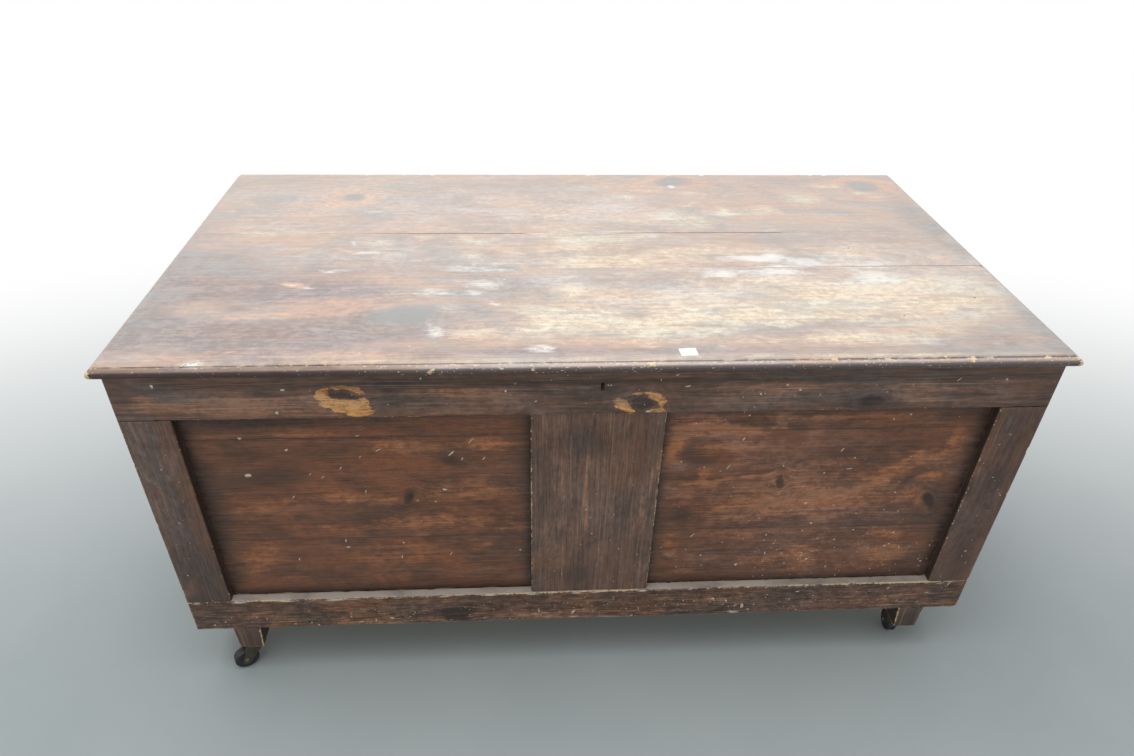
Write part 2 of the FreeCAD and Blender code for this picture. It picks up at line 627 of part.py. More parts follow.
def make_wheel(corner, x, y, turn):
    # A solid wheel with a raised hub and worn corners on its tread.
    body = caster_axis_body(x, y, turn)
    half_hub = "(sizes.hub_width / 2)"
    half_face = "(sizes.wheel_width / 2)"
    upper = [
        ("sizes.axle_radius + sizes.running_fit", half_hub), ("sizes.hub_radius", half_hub),
        ("sizes.hub_radius", half_face), ("sizes.wheel_radius - sizes.tread_chamfer", half_face),
        ("sizes.wheel_radius", f"({half_face} - sizes.tread_chamfer)")]
    lower = [(radius, f"-{width}") for radius, width in reversed(upper)]
    profile = polygon(sketch_on(body, "XY_Plane"), upper + lower)
    revolve(body, profile, "V_Axis")
    finish(body, f"caster_wheel_{corner}")


def knuckle_span(number):
    # Start and length of one of the five knuckles, along the hinge.
    start = f"(-sizes.leaf_length / 2 + {number} * sizes.leaf_length / 5)"
    return start, "(sizes.leaf_length / 5)"


def make_leaf(side, x, level, own_knuckles):
    # A butt hinge leaf: a plate cut back where the other leaf's knuckles lie, and its own knuckles.
    body = new_body(x, hinge_line, hinge_height)
    half_gap = "(sizes.lid_gap / 2)"
    low = f"(-{half_gap} - sizes.leaf_thickness)" if level == "lower" else half_gap
    plate = rectangle(sketch_on(body, "XY_Plane", low),
                      "-sizes.leaf_length / 2", "-sizes.leaf_width", "sizes.leaf_length / 2", "0")
    pad(body, plate, "sizes.leaf_thickness")
    for number in range(5):
        start, length = knuckle_span(number)
        if number in own_knuckles:
            barrel_end = sketch_on(body, "YZ_Plane", f"{start} + sizes.knuckle_gap / 2")
            barrel = circle(barrel_end, "sizes.knuckle_radius")
            pad(body, barrel, f"{length} - sizes.knuckle_gap")
        else:
            notch = rectangle(sketch_on(body, "XY_Plane", low),
                              f"{start} - sizes.knuckle_gap / 2",
                              "-sizes.knuckle_radius - sizes.knuckle_room",
                              f"{start} + {length} + sizes.knuckle_gap / 2", "1")
            pocket(body, notch, "sizes.leaf_thickness", reverse=True)
    clearance = "0" if level == "lower" else "sizes.running_fit"
    bore = circle(sketch_on(body, "YZ_Plane"), f"sizes.pin_radius + {clearance}")
    pocket(body, bore, "2 * sizes.leaf_length", side="Symmetric")
    screws = lower_leaf_screws if level == "lower" else upper_leaf_screws
    finish(bored(body, screws), f"{side}_hinge_{level}_leaf")


def make_hinges():
    for side, x in hinge_places.items():
        make_leaf(side, x, "lower", (0, 2, 4))
        make_leaf(side, x, "upper", (1, 3))
        body = new_body(x, hinge_line, hinge_height)
        pin = circle(sketch_on(body, "YZ_Plane"), "sizes.pin_radius")
        pad(body, pin, "sizes.leaf_length + 2 * sizes.pin_end", side="Symmetric")
        finish(body, f"{side}_hinge_pin")


def lid_board(y, corners):
    # A lid board from its plan outline, with the moulded nose worked on both ends.
    body = new_body(lid_left, y, lid_bottom)
    pad(body, polygon(sketch_on(body, "XY_Plane"), corners), "sizes.lid_thickness")
    right_end = sizes["chest_width"] + 2 * sizes["side_overhang"]
    for edge, edge_place, inward in (("0", 0, 1), (lid_length, right_end, -1)):
        waste = nose_waste(sketch_on(body, "XZ_Plane"), edge, edge_place, inward)
        pocket(body, waste, "2 * sizes.chest_depth", side="Symmetric")
    return body


def make_front_lid_board():
    # Moulded on the front too, and let in underneath for the lock's link plate.
    body = lid_board(lid_front, [
        ("0", "0"), (lid_length, "0"), (lid_length, "sizes.front_lid_board"), ("0", "sizes.front_lid_board")])
    waste = nose_waste(sketch_on(body, "YZ_Plane"), "0", 0, 1)
    pocket(body, waste, "3 * sizes.chest_width", side="Symmetric")
    middle = f"({lid_length} / 2 + sizes.keyhole_offset)"
    across = f"({link_line} - {lid_front})"
    plate = rectangle(sketch_on(body, "XY_Plane"),
                      f"{middle} - sizes.link_plate_length / 2", f"{across} - sizes.link_plate_width / 2",
                      f"{middle} + sizes.link_plate_length / 2", f"{across} + sizes.link_plate_width / 2")
    pocket(body, plate, "sizes.link_plate_thickness", reverse=True)
    finish(bored(bored(body, link_plate_screws), batten_screws), "lid_front_board")


def make_middle_lid_board():
    # It has shrunk, so a seam opens in a long wedge on each side of it.
    body = lid_board(f"{lid_front} + sizes.front_lid_board", [
        ("0", "0"), (f"{lid_length} - sizes.front_seam_open", "0"), (lid_length, "sizes.shrinkage"),
        (lid_length, "sizes.middle_lid_board"), ("sizes.back_seam_open", "sizes.middle_lid_board"),
        ("0", "sizes.middle_lid_board - sizes.shrinkage")])
    finish(bored(body, batten_screws), "lid_middle_board")


def make_back_lid_board():
    # Square at the back, with a gain underneath for each hinge.
    start = "(sizes.front_lid_board + sizes.middle_lid_board)"
    width = f"(sizes.chest_depth + 2 * sizes.face_overhang - {start})"
    plan = [("0", "0"), (lid_length, "0"), (lid_length, width), ("0", width)]
    body = lid_board(f"{lid_front} + {start}", plan)
    axis = f"({width} - sizes.face_overhang + sizes.hinge_setback)"
    for x in hinge_places.values():
        low = f"{lid_length} / 2 + {x} - sizes.leaf_length / 2"
        high = f"{lid_length} / 2 + {x} + sizes.leaf_length / 2"
        gain = rectangle(sketch_on(body, "XY_Plane"), low, f"{axis} - sizes.leaf_width", high, width)
        pocket(body, gain, "sizes.leaf_thickness", reverse=True)
        room = rectangle(sketch_on(body, "XY_Plane"),
                         f"{low} - sizes.pin_end - sizes.knuckle_room",
                         f"{axis} - sizes.knuckle_radius - sizes.knuckle_room",
                         f"{high} + sizes.pin_end + sizes.knuckle_room", f"{width} + 1")
        pocket(body, room, "sizes.knuckle_radius + sizes.knuckle_room", reverse=True)
    finish(bored(bored(body, upper_leaf_screws), batten_screws), "lid_back_board")


def make_battens():
    for side, x in batten_places.items():
        body = new_body(x, "0", f"{lid_bottom} - sizes.batten_thickness")
        half = "(sizes.batten_length / 2)"
        outline = polygon(sketch_on(body, "YZ_Plane"), [
            (f"-{half} + sizes.batten_bevel", "0"), (f"{half} - sizes.batten_bevel", "0"),
            (half, "sizes.batten_bevel"), (half, "sizes.batten_thickness"),
            (f"-{half}", "sizes.batten_thickness"), (f"-{half}", "sizes.batten_bevel")])
        pad(body, outline, "sizes.batten_width", side="Symmetric")
        finish(bored(body, batten_screws), f"lid_{side}_batten")


# The lock's pieces share one origin: on the rim, at the inner face of the wall, in line with the keyhole.
lock_origin = ("sizes.keyhole_offset", wall_inside, rim)
link_y = f"({link_line} - {wall_inside})"
bar_top = "(-sizes.bolt_bar_drop)"
bar_low = f"({bar_top} - sizes.bolt_bar_height)"
bar_middle = f"({bar_top} - sizes.bolt_bar_height / 2)"
stump_places = ["(-sizes.left_stump)", "sizes.right_stump"]


def make_lock_case():
    # A tray open to the inside of the chest, under a long flange with two slots, with a stump for each
    # slot of the bolt.
    body = new_body(*lock_origin)
    half = "(sizes.lock_width / 2)"
    tray_back = "(-sizes.cap_thickness)"
    tray = rectangle(sketch_on(body, "XY_Plane", "-sizes.lock_height"),
                     f"-{half}", "-sizes.lock_depth", half, tray_back)
    pad(body, tray, "sizes.lock_height")
    flange = rectangle(sketch_on(body, "XY_Plane", "-sizes.flange_thickness"),
                       "-sizes.flange_length / 2", "-sizes.flange_width", "sizes.flange_length / 2", "0")
    pad(body, flange, "sizes.flange_thickness")
    inside = rectangle(sketch_on(body, "XY_Plane", "-sizes.flange_thickness"),
                       f"-{half} + sizes.lock_wall", "-sizes.lock_depth + sizes.lock_wall",
                       f"{half} - sizes.lock_wall", tray_back)
    pocket(body, inside, "sizes.lock_height - sizes.flange_thickness - sizes.lock_wall")
    for side in (-1, 1):
        middle = f"({side} * sizes.link_spread / 2)"
        slot = rectangle(sketch_on(body, "XY_Plane"),
                         f"{middle} - sizes.flange_slot_length / 2", f"{link_y} - sizes.flange_slot_width / 2",
                         f"{middle} + sizes.flange_slot_length / 2", f"{link_y} + sizes.flange_slot_width / 2")
        pocket(body, slot, "sizes.flange_thickness")
    wall_face = "(sizes.lock_depth - sizes.lock_wall)"
    bolt_face = f"({link_y} - sizes.bolt_thickness / 2 - sizes.slide_gap)"
    for x in stump_places:
        shoulder = circle(sketch_on(body, "XZ_Plane", wall_face), "sizes.shoulder_radius", x, bar_middle)
        pad(body, shoulder, f"{wall_face} + {bolt_face}", reverse=True)
        stump = circle(sketch_on(body, "XZ_Plane", wall_face), "sizes.stump_radius", x, bar_middle)
        pad(body, stump, f"{wall_face} - sizes.cap_thickness", reverse=True)
    hole = keyhole(sketch_on(body, "XZ_Plane", "sizes.lock_depth"), "0", "-sizes.keyhole_drop")
    pocket(body, hole, "3 * sizes.lock_wall", side="Symmetric")
    finish(bored(body, lock_screws), "lock_case")


def make_lock_cap():
    half = "sizes.lock_width / 2"
    height = "sizes.lock_height - sizes.flange_thickness"
    cap = box(f"sizes.keyhole_offset - {half}", f"{wall_inside} - sizes.cap_thickness",
              f"{rim} - sizes.lock_height", "sizes.lock_width", "sizes.cap_thickness", height)
    finish(cap, "lock_cap")


def make_lock_bolt():
    # A slotted bar with two hooks whose fingers pass through the eyes of the links.
    body = new_body(*lock_origin)
    back_of_bolt = f"(-{link_y} - sizes.bolt_thickness / 2)"
    tips = [f"({side} * sizes.link_spread / 2 - sizes.link_thickness / 2 - sizes.finger_gap)"
            for side in (-1, 1)]
    roots = [f"({tip} - sizes.bolt_throw)" for tip in tips]
    finger_low = "(-sizes.hook_top_drop - sizes.finger_height)"
    hook_top = "(-sizes.hook_top_drop)"
    outline = [(f"{roots[0]} - sizes.hook_width", bar_low), ("sizes.bolt_tail", bar_low),
               ("sizes.bolt_tail", bar_top)]
    for tip, root in zip(reversed(tips), reversed(roots)):
        outline += [(root, bar_top), (root, finger_low), (tip, finger_low), (tip, hook_top),
                    (f"{root} - sizes.hook_width", hook_top)]
        if root is not roots[0]:
            outline.append((f"{root} - sizes.hook_width", bar_top))
    blank = polygon(sketch_on(body, "XZ_Plane", back_of_bolt), outline)
    pad(body, blank, "sizes.bolt_thickness")
    for x in stump_places:
        room = "(sizes.stump_radius + sizes.slide_gap)"
        slot = rectangle(sketch_on(body, "XZ_Plane", back_of_bolt),
                         f"{x} - sizes.bolt_throw - {room}", f"{bar_middle} - {room}",
                         f"{x} + {room}", f"{bar_middle} + {room}")
        pocket(body, slot, "sizes.bolt_thickness", reverse=True)
    finish(body, "lock_bolt")


def make_lock_spring():
    # A flat spring that stands on the case's floor and bends over to lie just under the bolt.
    body = new_body(*lock_origin)
    foot = "(-sizes.lock_width / 2 + sizes.lock_wall)"
    inner = f"({foot} + sizes.spring_thickness)"
    floor = "(-sizes.lock_height + sizes.lock_wall)"
    bend = "(-sizes.spring_bend_drop)"
    reach = f"({foot} + sizes.spring_reach)"
    crest = f"({bar_low} - sizes.spring_gap)"
    strip = polygon(sketch_on(body, "XZ_Plane", f"-{link_y} - sizes.bolt_thickness / 2"), [
        (foot, floor), (inner, floor), (inner, bend), (reach, f"{crest} - sizes.spring_thickness"),
        (reach, crest), (foot, f"{bend} + sizes.spring_thickness")])
    pad(body, strip, "sizes.bolt_thickness")
    finish(body, "lock_spring")


def make_link_plate():
    # A plate flush with the lid's underside and two links that drop into the lock.
    body = new_body("sizes.keyhole_offset", link_line, lid_bottom)
    half = "(sizes.link_plate_length / 2)"
    wide = "(sizes.link_plate_width / 2)"
    plate = rectangle(sketch_on(body, "XY_Plane"), f"-{half}", f"-{wide}", half, wide)
    pad(body, plate, "sizes.link_plate_thickness")
    for side in (-1, 1):
        middle = f"({side} * sizes.link_spread / 2)"
        link = rectangle(sketch_on(body, "XY_Plane"),
                         f"{middle} - sizes.link_thickness / 2", "-sizes.link_width / 2",
                         f"{middle} + sizes.link_thickness / 2", "sizes.link_width / 2")
        pad(body, link, "sizes.link_drop", reverse=True)
    eye_low = "(-sizes.link_drop + sizes.link_bar)"
    eye = rectangle(sketch_on(body, "YZ_Plane"), "-sizes.link_window_width / 2", eye_low,
                    "sizes.link_window_width / 2", f"{eye_low} + sizes.link_window_height")
    pocket(body, eye, "2 * sizes.link_plate_length", side="Symmetric")
    finish(bored(body, link_plate_screws), "lock_link_plate")


make_front_boards()
make_back_boards()
make_end_boards()
make_bottom_boards()
make_planted_frame()
make_foot_blocks()
make_caster_sockets()
for corner, (x, y, turn) in corners_of_chest.items():
    make_horn(corner, x, y, turn)
    make_axle(corner, x, y, turn)
    make_wheel(corner, x, y, turn)
make_hinges()
make_front_lid_board()
make_middle_lid_board()
make_back_lid_board()
make_battens()
make_lock_case()
make_lock_cap()
make_lock_bolt()
make_lock_spring()
make_link_plate()
document.recompute()


def check_document():
    # Stops on a failed object, a cut that removed nothing, or a piece that isn't a sound solid.
    for thing in document.Objects:
        if "Invalid" in thing.State or "Error" in thing.State:
            raise RuntimeError(f"{thing.Name} of {thing.Label} failed: {thing.State}")
    for cut in cuts:
        if cut.Shape.Volume > cut.BaseFeature.Shape.Volume - 1:
            raise RuntimeError(f"{cut.Name} in {cut.getParentGeoFeatureGroup().Label} removes nothing")
    for piece in finished:
        if piece.Shape.isNull() or not piece.Shape.isValid() or not piece.Shape.Solids:
            raise RuntimeError(f"{piece.Label} isn't a valid solid")


check_document()
os.makedirs("parts", exist_ok=True)
for piece in finished:
    piece.Shape.exportStep(f"parts/{piece.Label}.step")
print(len(finished), "pieces written")
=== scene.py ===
import bmesh
import bpy
import json
import math
import numpy as np
from mathutils import Matrix, Vector


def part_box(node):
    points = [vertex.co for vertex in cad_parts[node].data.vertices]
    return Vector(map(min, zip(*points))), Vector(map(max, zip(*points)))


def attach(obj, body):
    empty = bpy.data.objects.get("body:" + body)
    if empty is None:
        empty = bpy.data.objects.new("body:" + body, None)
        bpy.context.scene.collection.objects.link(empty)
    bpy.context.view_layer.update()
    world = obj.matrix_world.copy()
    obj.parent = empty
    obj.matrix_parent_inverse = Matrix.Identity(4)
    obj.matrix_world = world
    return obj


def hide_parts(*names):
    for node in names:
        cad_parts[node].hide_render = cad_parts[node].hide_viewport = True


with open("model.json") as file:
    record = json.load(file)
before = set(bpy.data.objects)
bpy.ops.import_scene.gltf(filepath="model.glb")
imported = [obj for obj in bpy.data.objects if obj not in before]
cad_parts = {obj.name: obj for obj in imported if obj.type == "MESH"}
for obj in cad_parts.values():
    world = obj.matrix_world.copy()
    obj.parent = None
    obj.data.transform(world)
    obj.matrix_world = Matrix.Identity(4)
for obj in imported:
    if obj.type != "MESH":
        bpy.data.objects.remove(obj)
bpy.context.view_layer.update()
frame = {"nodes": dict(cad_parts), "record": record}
nodes = frame["nodes"]
bodyOf = {node: body for body, members in frame["record"]["behaviour"]["bodies"].items() for node in members}
slotOf = {part["node"]: part["material_slot"] for part in frame["record"]["subparts"]}
mm = 0.001
print("frame loaded:", len(nodes), "nodes")


latticeTable = 4096    # how many random numbers the lattice's cells share, a power of two
latticePrimes = (73856093, 19349663, 83492791)    # they scatter a cell's three numbers over the table
mergedBelow = 2e-6    # metres between points that are taken as one


def latticeNoise(points, cell, seed):
    # Smooth noise from 0 to 1: random numbers on a lattice of cells, mixed by eased trilinear weights.
    table = np.random.default_rng(seed).random(latticeTable)
    scaled = points / cell
    low = np.floor(scaled).astype(np.int64)
    part = scaled - low
    part = part * part * (3 - 2 * part)
    total = np.zeros(points.shape[:-1])
    for corner in range(8):
        bits = np.array([corner & 1, corner >> 1 & 1, corner >> 2 & 1])
        a, b, c = np.moveaxis((low + bits) * latticePrimes, -1, 0)
        place = (a ^ b ^ c) & (latticeTable - 1)
        total += np.prod(np.where(bits, part, 1 - part), axis=-1) * table[place]
    return total


def roughNoise(points, cell, seed, octaves=3):
    # Lattice noise added up over finer and weaker octaves, still from 0 to 1.
    layers = [latticeNoise(points, np.asarray(cell) / 2 ** n, seed + n) / 2 ** n for n in range(octaves)]
    return sum(layers) / (2 - 2 ** (1 - octaves))


def easeStep(value, low, high):
    # 0 below low, 1 above high and an eased rise between.
    share = np.clip((value - low) / (high - low), 0, 1)
    return share * share * (3 - 2 * share)


def edgeStations(size, lowSide, highSide, step):
    # Places across a slab: crowded like the cosine of even angles inside each rounded edge, then even steps.
    def crowded(side):
        reach = side["radius"]
        near = reach * (1 - np.cos(np.linspace(0, math.pi / 2, side["fine"] + 1)))
        if side["kind"] == "nose":
            behind = reach + side["quirkSlope"]
            near = np.append(near, [behind, behind + side["quirkArris"]])
        return near
    low, high = crowded(lowSide), crowded(highSide)
    count = max(2, round((size - low[-1] - high[-1]) / step))
    even = np.linspace(low[-1], size - high[-1], count + 1)
    return np.concatenate([low[:-1], even, (size - high[:-1])[::-1]])


def edgeHeights(depth, side, thickness):
    # Top and bottom of a slab at a depth in from one side. An arris falls away as a quarter circle at the top
    # and bottom. A nose is a half circle standing on the bottom; the top starts again behind its quirk.
    radius = side["radius"]
    if side["kind"] == "nose":
        rise = np.sqrt(np.clip(radius ** 2 - (radius - np.minimum(depth, radius)) ** 2, 0, None))
        slope = side["quirkSlope"]
        onTop = easeStep(depth, radius, radius + slope)
        behind = np.clip(1 - (depth - radius - slope) / side["quirkArris"], 0, 1)
        upper = thickness - side["quirkArris"] * (1 - np.sqrt(1 - behind ** 2))
        nose = radius + rise
        return np.where(depth <= radius, nose, nose + (upper - nose) * onTop), radius - rise
    inside = np.clip(1 - depth / radius, 0, 1)
    drop = radius * (1 - np.sqrt(1 - inside ** 2))
    return thickness - drop, drop


def gridQuads(index):
    # The four corners of every cell of a grid of point numbers.
    return np.stack([index[:-1, :-1], index[1:, :-1], index[1:, 1:], index[:-1, 1:]], -1).reshape(-1, 4)


def gridRim(index):
    # The grid's outline, once round.
    return np.concatenate([index[:, 0], index[-1, 1:], index[-2::-1, -1], index[0, -2:0:-1]])


def slabSurface(size, sides, step, rows=3):
    # A closed slab as two height fields over one plan grid, top and bottom, joined by a wall of a few rows.
    # The top is the least and the bottom the most of what the four sides allow at each place.
    length, width, thickness = size
    a = edgeStations(length, sides[0], sides[1], step)
    b = edgeStations(width, sides[2], sides[3], step)
    planA, planB = np.meshgrid(a, b, indexing="ij")
    depths = (planA, length - planA, planB, width - planB)
    top, bottom = np.full(planA.shape, thickness), np.zeros(planA.shape)
    for depth, side in zip(depths, sides):
        upper, lower = edgeHeights(depth, side, thickness)
        top, bottom = np.minimum(top, upper), np.maximum(bottom, lower)
    count = planA.size
    index = np.arange(count).reshape(planA.shape)
    rim = gridRim(index)
    flatA, flatB, flatTop, flatBottom = (grid.ravel() for grid in (planA, planB, top, bottom))
    shares = np.linspace(0, 1, rows + 1)[1:-1][:, None]
    wallA, wallB = (np.broadcast_to(flat[rim], (rows - 1, len(rim))) for flat in (flatA, flatB))
    wall = np.stack([wallA, wallB, flatTop[rim] * (1 - shares) + flatBottom[rim] * shares], -1).reshape(-1, 3)
    upperPoints, lowerPoints = (np.stack([flatA, flatB, height], -1) for height in (flatTop, flatBottom))
    points = np.concatenate([upperPoints, lowerPoints, wall])
    between = [2 * count + row * len(rim) + np.arange(len(rim)) for row in range(rows - 1)]
    walls = [np.stack([lower, np.roll(lower, -1), np.roll(upper, -1), upper], -1)
             for upper, lower in zip([rim, *between], [*between, rim + count])]
    quads = gridQuads(index)
    return points, np.concatenate([quads, quads[:, ::-1] + count] + walls)


def meshPiece(name, points, faces):
    # A smooth mesh object from arrays, with doubles merged and its faces turned outwards.
    mesh = bpy.data.meshes.new(name)
    mesh.from_pydata(points.tolist(), [], faces.tolist())
    work = bmesh.new()
    work.from_mesh(mesh)
    bmesh.ops.remove_doubles(work, verts=work.verts, dist=mergedBelow)
    bmesh.ops.recalc_face_normals(work, faces=work.faces)
    work.to_mesh(mesh)
    work.free()
    mesh.polygons.foreach_set("use_smooth", [True] * len(mesh.polygons))
    piece = bpy.data.objects.new(name, mesh)
    bpy.context.scene.collection.objects.link(piece)
    return piece


def readRows(items, field):
    # Three numbers of each item, such as the places of the points, as the rows of one array.
    flat = np.zeros(len(items) * 3)
    items.foreach_get(field, flat)
    return flat.reshape(-1, 3)


def paint(piece, name, values):
    # Keeps one number, or three, for each point of the mesh, for the materials to read.
    kind, field = ("FLOAT", "value") if values.ndim == 1 else ("FLOAT_VECTOR", "vector")
    attribute = piece.data.attributes.new(name, kind, "POINT")
    attribute.data.foreach_set(field, values.astype(np.float32).ravel())


# The plan of the wood: where each knot and worn or stained place lies, in millimetres. Places on the lid are
# x and y, places on the front are x and z; then come half length, half width and strength, and a tilt in
# degrees where there is one. A knot has no strength.
lidPlan = dict(
    dull=[(-500, -311, 300, 12, 1.3)],
    chips=[(291, -308, 6, 2.5, .7, -4), (337, -308, 5, 2, .6), (359, -308, 6, 2.5, .7, -8),
        (404, -308, 4, 2, .5), (433, -308, 4, 2, .5), (467, -310, 2.5, 6, .6), (489, -309, 4, 2, .6, -20),
        (494, -306, 4, 2, .5), (565, -310, 8, 2.5, .7), (-208, -316, 9, 3, .45), (-330, -316, 5, 3, .3),
        (-82, -315, 5, 3, .35), (42, -312, 2.5, 5, .5), (62, -312, 4, 3, .5), (-268, -316, 4, 2.5, .35)],
    knots=[(184, 281, 38, 23, 24), (534, 258, 37, 33, 5), (-382, 209, 22, 18), (-252, -197, 38, 22, 6)],
    ochre=[(250, -165, 300, 80, .55), (370, -175, 170, 54, .6), (150, -200, 110, 40, .5),
        (20, -226, 110, 30, .75), (-50, -186, 70, 15, .6), (40, -10, 150, 56, .5), (30, 40, 70, 18, .6),
        (170, -8, 70, 22, .55), (26, -44, 60, 24, .5), (400, -16, 100, 26, .55),
        (180, 108, 56, 28, .9, -10), (440, -120, 150, 24, .5), (345, -262, 130, 16, .6),
        (-24, -133, 25, 27, .6), (-110, -244, 70, 16, .4, 8), (-180, 38, 40, 12, .5),
        (-176, -20, 26, 14, .5), (-312, 24, 22, 22, .7), (395, 197, 50, 26, .5, 10),
        (322, 150, 50, 24, .45), (252, 148, 12, 12, .7), (518, 226, 14, 6, .9), (440, -65, 90, 3, .9),
        (580, -65, 24, 3, .8), (-250, 57, 110, 4, .6), (466, 257, 30, 10, .6), (130, 236, 26, 10, .65),
        (203, 226, 30, 9, .6), (545, 206, 24, 8, .5), (-420, -108, 13, 5, 1.3, -16),
        (-52, 122, 16, 24, .5, 70), (70, 100, 60, 20, .4), (-470, 62, 90, 10, .5), (-500, 84, 60, 7, .4),
        (540, -160, 60, 60, .4), (-10, 75, 50, 10, .5), (-150, -303, 420, 3, .5),
        (400, -302, 200, 3.5, .9)],
    slate=[(-545, -40, 90, 44, .95), (-590, -160, 36, 130, .7), (-252, -196, 50, 28, .85, 4),
        (-300, -215, 110, 24, .5, 6), (-555, -226, 50, 22, .5), (-150, -110, 80, 50, .6, -30),
        (-103, -121, 30, 28, .7), (-58, -146, 24, 18, .9), (-112, -62, 8, 4, 1.6),
        (-158, -175, 46, 20, .8, -40), (-170, -65, 60, 24, .5), (27, -106, 44, 20, .8),
        (308, 30, 60, 26, .6), (85, 0, 30, 20, .7), (590, 20, 24, 90, .9), (598, -230, 22, 90, 1.0),
        (510, -296, 110, 11, 1.0), (300, -290, 66, 10, .6), (240, -150, 34, 8, .7, -20),
        (100, -171, 8, 7, .8), (168, -187, 17, 7, 1.0, 8), (140, -222, 22, 5, .7, 4),
        (340, -230, 90, 7, .6, 5), (184, 279, 52, 26, .5, 26), (575, 120, 40, 90, .8),
        (150, 190, 60, 30, .45), (-360, 150, 50, 26, .5), (-244, 240, 110, 44, .5), (-480, 230, 80, 40, .4),
        (-345, 132, 30, 16, .5), (-560, 290, 60, 20, .5), (-220, 60, 60, 20, .35), (-282, 30, 12, 22, .7),
        (480, 78, 70, 12, .4), (0, 236, 60, 30, .4), (530, -235, 90, 40, .45), (330, -25, 20, 40, .5, 30),
        (480, -70, 60, 20, .3)],
    plum=[(120, -104, 100, 26, .6), (333, -66, 30, 40, .5, 10), (166, -227, 60, 10, .6),
        (275, -232, 80, 12, .7, 6), (520, -270, 90, 26, .7), (470, 28, 110, 34, .45),
        (-430, -120, 180, 60, 1.0), (-400, -240, 260, 60, 1.0), (-290, -30, 160, 40, .35),
        (400, 280, 120, 30, .4), (60, -286, 420, 14, .6), (-580, -100, 60, 220, .6),
        (-300, 190, 190, 40, .25), (200, 235, 70, 34, .3)],
    warm=[(534, 256, 70, 48, .8), (184, 278, 76, 38, .8, 20), (-382, 209, 40, 26, .6),
        (-436, -194, 120, 14, .9, 6), (-316, -288, 90, 14, .85), (-520, -290, 76, 12, .65),
        (-140, -240, 70, 22, .9), (-300, -158, 180, 20, .6), (-286, -102, 52, 24, .6),
        (-413, -109, 19, 8, 2.0, -16), (-253, 38, 22, 18, 1.0), (-568, 14, 24, 20, .9),
        (168, -188, 40, 26, .7), (121, -208, 18, 14, .8), (442, -206, 120, 5, .9, 4),
        (50, -266, 90, 7, 1.1), (130, 240, 40, 26, 1.1), (220, 250, 60, 34, .8, 20),
        (460, 258, 36, 22, 1.2, 20), (582, 256, 18, 22, 1.4), (534, 208, 40, 18, 1.4, 10),
        (468, 258, 36, 14, 1.4), (205, 224, 34, 12, 1.1), (-370, 225, 40, 22, .9),
        (-390, 178, 60, 12, .7, 6), (-534, 78, 34, 9, 1.0), (-285, 84, 60, 9, 1.0), (-64, 290, 90, 24, .6),
        (-90, 215, 120, 12, .5), (-10, 150, 60, 40, .35), (330, 180, 90, 40, .7), (420, 235, 150, 40, .45),
        (470, 60, 110, 36, .4), (-60, 16, 50, 12, .5), (-440, 200, 110, 60, .35), (230, -150, 80, 10, .5),
        (560, -40, 50, 20, .4), (-170, 130, 120, 20, .4)],
    # The haze marks are partly a whitish bloom on the varnish and partly painted sheen.
    hazeAndSheen=[(-350, 190, 300, 130, .45), (330, 200, 330, 120, .12), (150, -140, 330, 110, .6),
        (-280, -20, 240, 50, .35), (480, -60, 160, 120, .5), (20, 150, 160, 120, .5)],
    chalk=[(258, -33, 58, 13, 1.5, -6), (180, -85, 34, 11, .55), (250, -72, 60, 14, .55),
        (300, -81, 50, 9, .6, -4), (415, -94, 40, 22, .95), (350, -115, 30, 8, .6), (447, -48, 90, 10, .4),
        (-372, -71, 13, 5, 1.0, -8), (-391, -119, 14, 4, .9, -14), (-266, -77, 14, 3, .7, -8),
        (-149, -108, 34, 22, .75), (-220, -129, 22, 14, .7), (-137, -162, 22, 7, .8, -40),
        (-207, -240, 12, 14, 1.1, 10), (-70, -279, 16, 8, 1.05), (-487, -306, 13, 9, 1.1),
        (-328, -8, 21, 5, 1.0, 5), (-352, 24, 5, 12, .8, 20), (178, 254, 6, 10, 1.2),
        (-336, 146, 30, 7, .6), (-180, -60, 50, 26, .5), (92, 206, 14, 14, .6), (200, 175, 30, 8, .5, 40),
        (360, -60, 90, 14, .5), (-190, -170, 26, 20, .5)])
